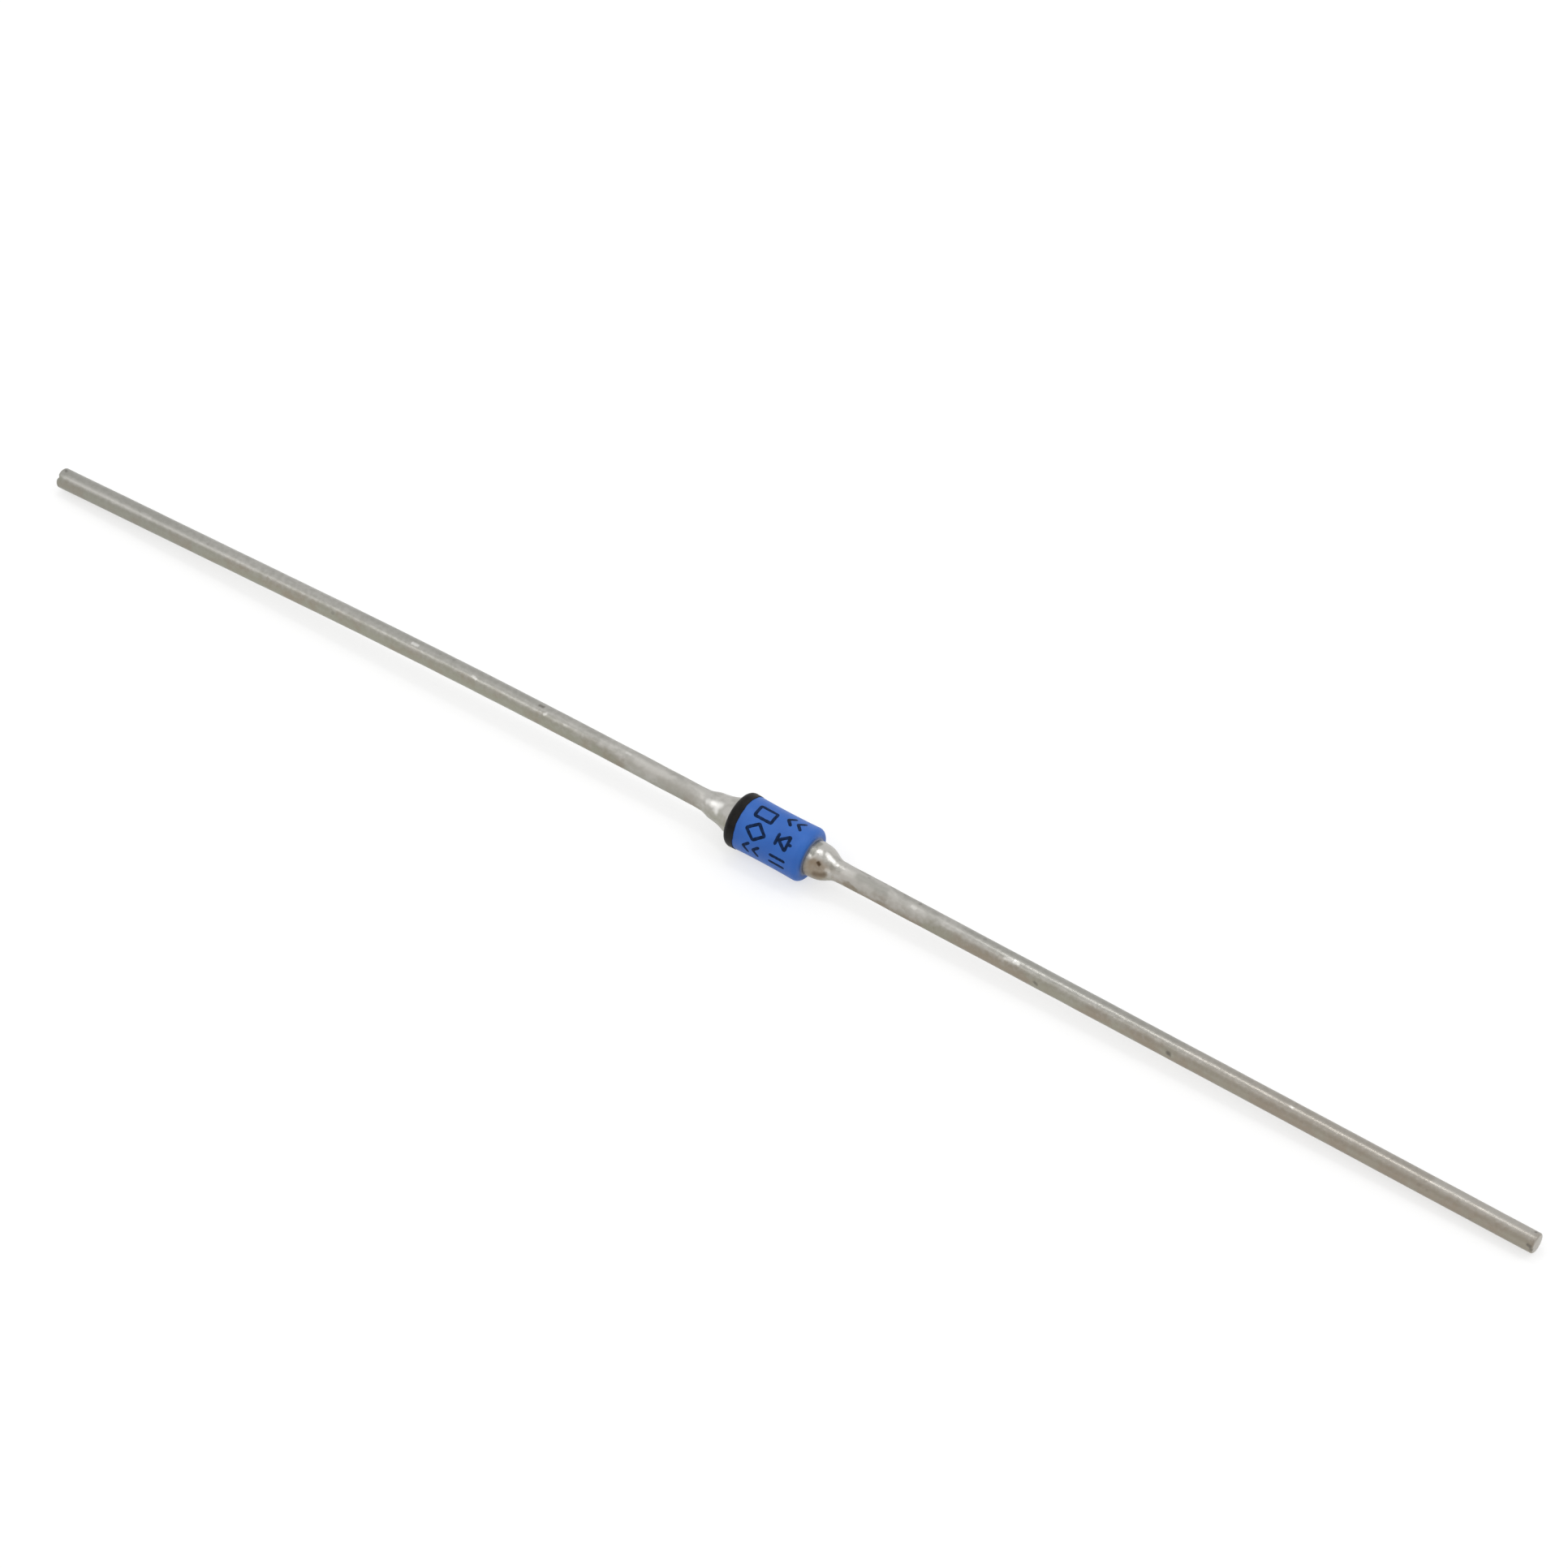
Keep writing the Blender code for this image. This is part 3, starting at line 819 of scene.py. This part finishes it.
def make_streak_group():
    """A ragged streak along a line: 1 on the line from Start to End, and 0 away from it."""
    group = bpy.data.node_groups.new("ragged_streak", "ShaderNodeTree")
    name_sockets(group, "INPUT", ["Start", "End"], "NodeSocketVector")
    name_sockets(group, "INPUT", ["Half Width", "Raggedness", "Softness", "Seed"])
    name_sockets(group, "OUTPUT", ["Streak"])
    given = add(group, "NodeGroupInput").outputs
    place = add(group, "ShaderNodeTexCoord").outputs["Object"]
    line = vector_work(group, "SUBTRACT", given["End"], given["Start"])[0]
    reach = vector_work(group, "SUBTRACT", place, given["Start"])[0]
    share = vector_work(group, "DOT_PRODUCT", reach, line)[1]
    share = work(group, "DIVIDE", share, vector_work(group, "DOT_PRODUCT", line, line)[1])
    share = work(group, "MINIMUM", work(group, "MAXIMUM", share, 0.0), 1.0)
    nearest = add(group, "ShaderNodeVectorMath", {0: line, "Scale": share}, operation="SCALE").outputs[0]
    away = vector_work(group, "DISTANCE", reach, nearest)[1]
    away = work(group, "DIVIDE", away, given["Half Width"])
    sized = vector_work(group, "DIVIDE", place, given["Half Width"])[0]
    edge = noise(group, Vector=sized, W=given["Seed"], Scale=0.9, Detail=1.5)
    edge = work(group, "MULTIPLY_ADD", work(group, "SUBTRACT", edge, 0.5), given["Raggedness"], away)
    inner = work(group, "SUBTRACT", 1.0, given["Softness"])
    add(group, "NodeGroupOutput", {"Streak": soft_step(group, edge, 1.0, inner)})
    return group


def lay_out(rings, points, streaks):
    """Puts streaks on a round piece. A row holds both ends, the half width, the softness, the
    colour and the strength. An end is a distance along the piece, or back from its last point
    if it is less than 0, and a turn in degrees up from the front. Lengths are in mm."""
    placed = []
    for *ends, half_width, softness, colour, strength in streaks:
        places = []
        for distance, degrees in (ends[:2], ends[2:]):
            first = points[0] if distance >= 0 else points[-1]
            away = [abs((point - first).length - abs(distance) * MM) for point in points[1:-1]]
            near = away.index(min(away)) + 1
            turn = math.radians(degrees)
            side = Vector((0.0, -math.cos(turn), math.sin(turn)))
            places.append(points[near] + side * rings[near][1])
        placed.append((*places, half_width * MM, softness, colour, strength))
    return placed


def add_streaks(tree, colour, placed):
    """Lays streaks over a colour: each has ends, half width, softness, colour and strength."""
    for number, (start, end, half_width, softness, streak_colour, strength) in enumerate(placed):
        streak = add(tree, "ShaderNodeGroup", node_tree=STREAK)
        values = {"Start": start, "End": end, "Half Width": half_width}
        values.update({"Raggedness": 0.9, "Softness": softness, "Seed": 2.0 * number})
        for socket, value in values.items():
            streak.inputs[socket].default_value = value
        share = work(tree, "MULTIPLY", streak.outputs[0], strength)
        colour = blend_colours(tree, share, colour, streak_colour)
    return colour


def tinned_metal(name, shade_tone, other_shade_tone, seed, placed):
    """Satin tin, paler where it ran near the body, with painted shade in two darker tones on
    the side that faces down towards the front."""
    sizes = {"patch": 0.5 * MM, "grain": 0.035 * MM, "speck": 0.30 * MM, "stretch": 1.8}
    material, tree, shader, grain = new_finish(name, **sizes, seed=seed, Metallic=1.0)
    coordinates = add(tree, "ShaderNodeTexCoord").outputs
    place = coordinates["Object"]
    lengthwise = add(tree, "ShaderNodeSeparateXYZ", {0: place}).outputs[0]
    from_middle = work(tree, "ABSOLUTE", lengthwise)
    near_body = soft_step(tree, from_middle, DULL_BEYOND, PALE_WITHIN, DULL_SHARE, 1.0)
    mottle = noise(tree, Vector=place, W=seed, Scale=1 / MOTTLE_SIZE, Detail=1.0)
    mottle = soft_step(tree, mottle, *MOTTLE_EDGE, 0.0, MOTTLE_SHARE)
    patches = soft_step(tree, grain["Patches"], *PATCH_EDGE, PATCH_LEAST, 1.0)
    paleness = work(tree, "MULTIPLY_ADD", patches, near_body, mottle)
    tin = blend_colours(tree, paleness, TIN_DULL, TIN_PALE)
    # Painted shade: the side that faces down towards the front blends to two darker, warmer tones, mixed
    # in clouds and held off where the tin is pale.
    under_side = (0.0, -math.sin(VIEWED_SIDE), -math.cos(VIEWED_SIDE))
    facing = vector_work(tree, "DOT_PRODUCT", coordinates["Normal"], under_side)[1]
    facing = work(tree, "MULTIPLY_ADD", paleness, UNDERSIDE_SHADE_RESISTED, facing)
    shaded_underside = soft_step(tree, facing, *UNDERSIDE_SHADE_EDGE)
    clouds = noise(tree, Vector=place, W=seed, Scale=1 / CLOUD_SIZE, Detail=1.5)
    clouds = soft_step(tree, clouds, *CLOUD_EDGE, 0.0, CLOUD_SHARE)
    colour = blend_colours(tree, shaded_underside, tin, blend_colours(tree, clouds, shade_tone, other_shade_tone))
    specks = work(tree, "MULTIPLY", grain["Specks"], SPECK_SHARE)
    colour = blend_colours(tree, specks, colour, PIT_GREY)
    end_on = add(tree, "ShaderNodeSeparateXYZ", {0: coordinates["Normal"]}).outputs[0]
    cut = soft_step(tree, work(tree, "ABSOLUTE", end_on), *CUT_EDGE)
    cut = work(tree, "MULTIPLY", cut, work(tree, "GREATER_THAN", from_middle, CUT_FROM))
    colour = add_streaks(tree, blend_colours(tree, cut, colour, CUT_BRIGHT), placed)
    # Painted shade with a blue cast of the enamel's reflection, on the first stretch of solder next to the
    # body's face.
    junction_shade = soft_step(tree, from_middle, FACE_Z + JUNCTION_SHADE_WIDTH, FACE_Z, 0.0, JUNCTION_SHADE_SHARE)
    tree.links.new(blend_colours(tree, junction_shade, colour, JUNCTION_SHADE_BLUE), shader.inputs["Base Color"])
    on_solder = soft_step(tree, from_middle, *SATIN_RISE, GLOSSY, SATIN)
    on_wire = soft_step(tree, from_middle, *SATIN_FALL, SATIN, GLOSSY)
    gloss = work(tree, "MULTIPLY_ADD", patches, -0.05, work(tree, "MINIMUM", on_solder, on_wire))
    tree.links.new(gloss, shader.inputs["Roughness"])
    raise_surface(tree, shader, grain["Grain"], depth=0.002 * MM)
    return material


def press_crease(mesh, points):
    """Presses the cutter's V crease into the face at the wire's cut end."""
    heading = (points[-1] - points[-HEADING_RINGS]).normalized()
    along = Vector((0.0, -math.cos(CREASE_ANGLE), math.sin(CREASE_ANGLE)))
    along = (along - heading * along.dot(heading)).normalized()
    across = along.cross(heading)
    for vertex in mesh.vertices:
        from_tip = vertex.co - points[-1]
        if from_tip.dot(heading) < -2 * TIP_ROUNDING:
            continue
        aside = abs(from_tip.dot(across) - CREASE_OFFSET)
        share = max(0.0, 1 - aside / CREASE_WIDTH)
        vertex.co -= heading * CREASE_DEPTH * share**CREASE_SHARPNESS


STREAK = make_streak_group()
round_metal = make_round_metal_tree()
anode_rings, anode_line = lead_line(1, ANODE_LEAD_LENGTH, ANODE_BEND_START, ANODE_BEND_LENGTH)
cathode_rings, cathode_line = lead_line(-1, CATHODE_LEAD_LENGTH, CATHODE_BEND_START, CATHODE_BEND_LENGTH)
# Rows on the anode wire: a rosy tint over its last 9 mm, a pale patch beside the ball and dark pits are
# the tin's own colour. The bright rows are painted highlights and glints. The grey rows are painted shade
# that dims the highlight beside the ball and the upper side, and the pale row at 96 to 100 degrees near
# the cut end is painted light on the upper side.
anode_marks = [
    (-0.01, 40, -9.00, 40, 9.00, 1.00, TIN_ROSY, 0.42),
    (2.60, 46, 4.60, 56, 0.42, 1.00, TIN_PALE, 0.45),
    (-0.30, 100, -4.00, 96, 0.30, 1.00, TIN_PALE, 0.45),
    (1.95, 76, 3.10, 78, 0.24, 0.90, PAINTED_SHADE_GREY, 0.60),
    (4.20, 69, 4.36, 68, 0.09, 0.80, PAINTED_HIGHLIGHT, 0.25),
    (6.50, 112, 15.00, 112, 0.45, 1.00, PAINTED_SHADE_GREY, 0.38),
    (8.12, 60, 8.44, 74, 0.11, 1.00, PAINTED_HIGHLIGHT, 0.35),
    (8.44, 69, 8.60, 66, 0.11, 1.00, PAINTED_HIGHLIGHT, 0.70),
    (9.42, 20, 9.48, 14, 0.09, 0.80, PIT_GREY, 0.55),
    (7.92, 47, 8.04, 47, 0.09, 0.80, PAINTED_HIGHLIGHT, 0.15),
    (14.78, 26, 14.88, 18, 0.12, 0.85, PIT_GREY, 0.80),
    (19.52, 80, 19.64, 80, 0.07, 0.80, PAINTED_HIGHLIGHT, 0.35),
    (-0.18, 118, -0.22, 114, 0.08, 0.80, PIT_GREY, 0.75),
    (-0.20, 26, -0.12, 22, 0.10, 0.90, PIT_GREY, 0.70),
    (-0.04, 4, -0.06, 8, 0.12, 0.90, PIT_GREY, 0.70),
]
# Rows on the cathode wire: a pale patch beside the cone and dark pits are the tin's own colour. The grey
# rows are painted shade over the last 3.5 mm and on the upper side. The pale rows at 61 to 62 degrees near
# the cut end are a painted highlight along the wire, and the bright rows are painted glints.
cathode_marks = [
    (-0.01, 54, -3.50, 54, 6.00, 1.00, PAINTED_SHADE_GREY, 0.45),
    (1.30, 50, 4.00, 50, 0.95, 1.00, TIN_PALE, 0.55),
    (-0.30, 62, -4.20, 61, 0.15, 0.95, TIN_PALE, 0.60),
    (-4.20, 61, -9.00, 61, 0.11, 0.80, TIN_PALE, 0.38),
    (4.48, 83, 4.66, 83, 0.08, 0.80, PAINTED_HIGHLIGHT, 0.24),
    (8.50, 112, 16.50, 112, 0.45, 1.00, PAINTED_SHADE_GREY, 0.30),
    (7.14, 58, 7.24, 58, 0.08, 0.80, PAINTED_HIGHLIGHT, 0.16),
    (8.02, 66, 8.10, 58, 0.08, 0.80, PAINTED_HIGHLIGHT, 0.35),
    (8.28, 96, 8.42, 92, 0.09, 0.80, PIT_GREY, 0.65),
    (11.08, 60, 11.24, 66, 0.08, 0.80, PAINTED_HIGHLIGHT, 0.35),
    (13.72, 79, 13.96, 79, 0.10, 0.80, PAINTED_HIGHLIGHT, 0.45),
    (-0.18, 96, -0.14, 104, 0.09, 0.90, PIT_GREY, 0.60),
    (-0.08, -16, -0.05, -8, 0.11, 0.90, PIT_GREY, 0.60),
]
anode_placed = lay_out(anode_rings, anode_line, anode_marks)
cathode_placed = lay_out(cathode_rings, cathode_line, cathode_marks)
anode_shade_tones = (ANODE_UNDERSIDE_SHADE, CATHODE_UNDERSIDE_SHADE, ANODE_PATTERN)
cathode_shade_tones = (CATHODE_UNDERSIDE_SHADE, ANODE_UNDERSIDE_SHADE, CATHODE_PATTERN)
anode_tin = tinned_metal("anode_tin", *anode_shade_tones, anode_placed)
cathode_tin = tinned_metal("cathode_tin", *cathode_shade_tones, cathode_placed)
wire_lumps = (0.007 * MM, 0.50 * MM, 2.2)
anode_wire = round_mesh("anode_wire", anode_rings, anode_line, LEAD_SIDES, (*wire_lumps, 2.0), anode_tin)
cathode_wire = round_mesh(
    "cathode_wire", cathode_rings, cathode_line, LEAD_SIDES, (*wire_lumps, 6.0), cathode_tin
)
press_crease(cathode_wire, cathode_line)
add_piece("anode_wire", anode_wire, anode_tin, "tinned_wire", "anode_lead")
add_piece("cathode_wire", cathode_wire, cathode_tin, "tinned_wire", "cathode_lead")


# Solder beads
# Bright solder that holds each wire to its pin. It was molten when it ran out along the wire,
# so the anode bead is a ball, the cathode one a cone, and brown flux stays on the ball.

SOLDER_EDGE = 0.010 * MM
FEATHER_SINK = 0.016 * MM
FEATHER_LENGTH = 0.35 * MM
FOOT_DEPTH = 0.036 * MM
BEAD_SIDES = 112
BEAD_STEP = 0.018 * MM
BEAD_NUDGE = 0.0004 * MM
BEAD_LUMPS_RISE = 12
BEAD_LUMPS_FADE = 0.9 * MM
BEAD_LUMPS_STOP = 0.35
JOINT_GAP = 0.006 * MM
ANODE_BEAD = {
    "base": 0.667 * MM,
    "length": 1.25 * MM,
    "fullness": 4.0,
    "taper": 3.6,
    "ridge": 0.0,
}
CATHODE_BEAD = {
    "base": 0.73 * MM,
    "length": 1.45 * MM,
    "fullness": 1.3,
    "taper": 2.0,
    "ridge": 0.058 * MM,
}
RIDGE_AT = 1.0 * MM
RIDGE_SPREAD = 0.27 * MM

FLUX_BROWN = (0.095, 0.066, 0.042, 1.0)
FLUX_TAN = (0.270, 0.205, 0.140, 1.0)


def bead_radius(bead, distance):
    """The bead's radius at a distance from the body's face."""
    along = min(distance / bead["length"], 1.0)
    wire = LEAD_RADIUS + SOLDER_EDGE
    swell = (bead["base"] - wire) * (1 - along ** bead["fullness"]) ** bead["taper"]
    from_ridge = (distance - RIDGE_AT) / RIDGE_SPREAD
    ridge = bead["ridge"] * math.exp(-(from_ridge**2)) * (1 - along**8)
    past_end = max(0.0, distance - bead["length"]) / FEATHER_LENGTH
    return wire + swell + ridge - FEATHER_SINK * past_end


def bead_line(outward, bead):
    """The bead's rings and line of points, from the body's face to where it feathers out."""
    length = bead["length"] + FEATHER_LENGTH
    count = round(length / BEAD_STEP)
    rings = [(-FOOT_DEPTH, bead["base"] * 0.5, 0.0), (BEAD_NUDGE - FOOT_DEPTH, bead["base"], 0.0)]
    for step in range(1, count + 1):
        distance = length * step / count
        fading = min(1.0, max(0.0, (length - distance) / BEAD_LUMPS_FADE - BEAD_LUMPS_STOP))
        lumps = min(1.0, step / BEAD_LUMPS_RISE) * fading
        rings.append((distance, bead_radius(bead, distance), lumps))
    rings.append((length + BEAD_NUDGE, LEAD_RADIUS * 0.6, 0.0))
    foot = FACE_Z + JOINT_GAP
    return rings, [DIODE_AXIS @ Vector((0.0, 0.0, outward * (foot + ring[0]))) for ring in rings]


ball_rings, ball_line = bead_line(1, ANODE_BEAD)
cone_rings, cone_line = bead_line(-1, CATHODE_BEAD)
# Rows on the ball: tan and brown on its lower side and a small brown flux spot. The grey rows are painted
# shade next to the enamel and where the ball runs into the wire, and the bright rows are painted
# highlights.
ball_marks = [
    (0.18, 108, 0.20, 66, 0.20, 0.60, PAINTED_SHADE_GREY, 0.90),
    (0.40, 22, 0.76, 0, 0.36, 0.95, FLUX_TAN, 0.50),
    (0.44, 46, 0.80, 38, 0.25, 0.90, FLUX_TAN, 0.65),
    (0.60, 47, 0.64, 43, 0.10, 0.80, FLUX_BROWN, 1.00),
    (0.58, 3, 0.86, 9, 0.19, 1.00, FLUX_BROWN, 0.60),
    (1.08, 62, 1.28, 58, 0.18, 0.90, PAINTED_SHADE_GREY, 0.60),
    (0.42, 79, 0.50, 78, 0.13, 0.70, PAINTED_HIGHLIGHT, 0.50),
    (0.70, 88, 1.12, 75, 0.14, 0.80, PAINTED_HIGHLIGHT, 0.62),
    (0.22, 54, 0.27, 52, 0.09, 0.80, PAINTED_HIGHLIGHT, 0.40),
    (0.92, 36, 0.98, 32, 0.10, 0.80, PAINTED_HIGHLIGHT, 0.30),
]
# Rows on the cone: the bright rows are a painted highlight, and the pale row is a pale patch round it.
cone_marks = [
    (0.50, 56, 1.60, 50, 0.60, 1.00, TIN_PALE, 0.60),
    (0.58, 64, 0.90, 54, 0.22, 1.00, PAINTED_HIGHLIGHT, 0.80),
    (0.66, 38, 0.70, 54, 0.22, 1.00, PAINTED_HIGHLIGHT, 0.80),
    (0.92, 56, 1.16, 54, 0.16, 1.00, PAINTED_HIGHLIGHT, 0.60),
]
ball_placed = lay_out(ball_rings, ball_line, ball_marks)
cone_placed = lay_out(cone_rings, cone_line, cone_marks)
anode_solder = tinned_metal("anode_solder", *anode_shade_tones, ball_placed)
cathode_solder = tinned_metal("cathode_solder", *cathode_shade_tones, cone_placed)
ball_lumps = (0.014 * MM, 0.46 * MM, 1.0, 12.0)
cone_lumps = (0.013 * MM, 0.60 * MM, 1.0, 15.0)
anode_ball = round_mesh(
    "anode_solder_ball", ball_rings, ball_line, BEAD_SIDES, ball_lumps, anode_solder
)
cathode_cone = round_mesh(
    "cathode_solder_cone", cone_rings, cone_line, BEAD_SIDES, cone_lumps, cathode_solder
)
add_piece("anode_solder_ball", anode_ball, anode_solder, "solder", "anode_solder_bead")
add_piece("cathode_solder_cone", cathode_cone, cathode_solder, "solder", "cathode_solder_bead")


# Floor and backdrop
# A sheet of white paper, lit until it is pure white in the picture, so that only a faint soft
# shadow of the diode stays on it. Metal sees it so too. The diode gets plain light back from it.

FLOOR_HALF = 2.0
FLOOR_DROP = 0.003 * MM
PAPER_ROUGHNESS = 0.9
PAPER_EMISSION = 0.60
PAPER_PLAIN = (0.66, 0.66, 0.66, 1.0)
PAPER_SEEN = (0.46, 0.46, 0.46, 1.0)
PAPER_GLOW = (1.0, 1.0, 1.0, 1.0)
NO_GLOW = (0.0, 0.0, 0.0, 1.0)


def shows_backdrop(tree, ray):
    """1 for a ray that shows the backdrop, directly or in metal or glass, and 0 for others."""
    seen = work(tree, "MAXIMUM", ray["Is Camera Ray"], ray["Is Glossy Ray"])
    return work(tree, "MAXIMUM", seen, ray["Is Transmission Ray"])


paper = bpy.data.materials.new("white_paper")
paper.use_nodes = True
tree = paper.node_tree
shader = tree.nodes["Principled BSDF"]
shader.inputs["Roughness"].default_value = PAPER_ROUGHNESS
shader.inputs["Specular IOR Level"].default_value = 0.0
shader.inputs["Emission Strength"].default_value = PAPER_EMISSION
ray = add(tree, "ShaderNodeLightPath").outputs
seen = shows_backdrop(tree, ray)
tree.links.new(blend_colours(tree, seen, PAPER_PLAIN, PAPER_SEEN), shader.inputs["Base Color"])
tree.links.new(blend_colours(tree, seen, NO_GLOW, PAPER_GLOW), shader.inputs["Emission Color"])

floor_mesh = bpy.data.meshes.new("floor")
floor_corners = [(x * FLOOR_HALF, y * FLOOR_HALF) for x, y in ((-1, -1), (1, -1), (1, 1), (-1, 1))]
floor_mesh.from_pydata([(x, y, -FLOOR_DROP) for x, y in floor_corners], [], [(0, 1, 2, 3)])
floor_mesh.materials.append(paper)
floor = put_in_scene("floor", floor_mesh)


# Studio light
# A white tent all round, dimmer and warmer in front where the photographer stands. A short
# strip and a softbox hang over it on the cathode's side, and a small lamp on the anode's.

TENT_WHITE = (1.0, 1.0, 1.0, 1.0)
TENT_LIGHT = 0.83
FRONT_TINT = (0.81, 0.77, 0.72, 1.0)
FRONT_DIRECTION = Vector((0.30, -0.80, 0.52)).normalized()
FRONT_EDGE = 0.55
LAMPS = {
    "overhead_strip": {"place": (-0.034, 0.040, 0.200), "size": (0.052, 0.030), "level": 6.2},
    "front_softbox": {"place": (-0.108, -0.104, 0.200), "size": (0.060, 0.080), "level": 2.1},
    "side_lamp": {"place": (0.160, 0.082, 0.240), "size": (0.080, 0.080), "level": 4.0},
}

world = bpy.data.worlds.new("studio")
world.use_nodes = True
tree = world.node_tree
lit = tree.nodes["Background"]
lit.inputs["Color"].default_value = TENT_WHITE
lit.inputs["Strength"].default_value = TENT_LIGHT
ray = add(tree, "ShaderNodeLightPath").outputs
direction = add(tree, "ShaderNodeTexCoord").outputs["Generated"]
toward = vector_work(tree, "DOT_PRODUCT", direction, FRONT_DIRECTION)[1]
in_metal = work(tree, "MULTIPLY", soft_step(tree, toward, FRONT_EDGE, 1.0), ray["Is Glossy Ray"])
tent_seen = add(tree, "ShaderNodeBackground", {"Strength": 1.0})
tree.links.new(blend_colours(tree, in_metal, TENT_WHITE, FRONT_TINT), tent_seen.inputs["Color"])
seen = shows_backdrop(tree, ray)
either = add(tree, "ShaderNodeMixShader", {0: seen, 1: lit.outputs[0], 2: tent_seen.outputs[0]})
tree.links.new(either.outputs[0], tree.nodes["World Output"].inputs["Surface"])
bpy.context.scene.world = world

for name, lamp in LAMPS.items():
    light = bpy.data.lights.new(name, "AREA")
    light.shape = "RECTANGLE"
    light.size, light.size_y = lamp["size"]
    light.energy = lamp["level"] * math.pi * light.size * light.size_y
    hung = put_in_scene(name, light)
    hung.location = lamp["place"]
    hung.visible_camera = False


# Camera
# It looks down on the diode from the front, a little from the anode's side, through a long
# lens, at the photograph's angle.

CAMERA_AZIMUTH = math.radians(34.50)
CAMERA_ELEVATION = math.radians(48.62)
CAMERA_DISTANCE = 0.2650
CAMERA_LENS = 175.0
CAMERA_RIGHT = 0.314 * MM
CAMERA_UP = 1.8435 * MM
AIM_HEIGHT = 1.05 * MM
NEAREST_SEEN = 1.0 * MM
FARTHEST_SEEN = 20.0

level_share = math.cos(CAMERA_ELEVATION)
back = Vector((
    math.sin(CAMERA_AZIMUTH) * level_share,
    -math.cos(CAMERA_AZIMUTH) * level_share,
    math.sin(CAMERA_ELEVATION),
))
right = Vector((math.cos(CAMERA_AZIMUTH), math.sin(CAMERA_AZIMUTH), 0.0))
camera = put_in_scene("camera", bpy.data.cameras.new("camera"))
camera.location = Vector((0.0, 0.0, AIM_HEIGHT)) + right * CAMERA_RIGHT
camera.location += back.cross(right) * CAMERA_UP + back * CAMERA_DISTANCE
camera.rotation_euler = back.to_track_quat("Z", "Y").to_euler()
camera.data.lens = CAMERA_LENS
camera.data.clip_start = NEAREST_SEEN
camera.data.clip_end = FARTHEST_SEEN
bpy.context.scene.camera = camera
bpy.context.scene.view_settings.view_transform = "Standard"
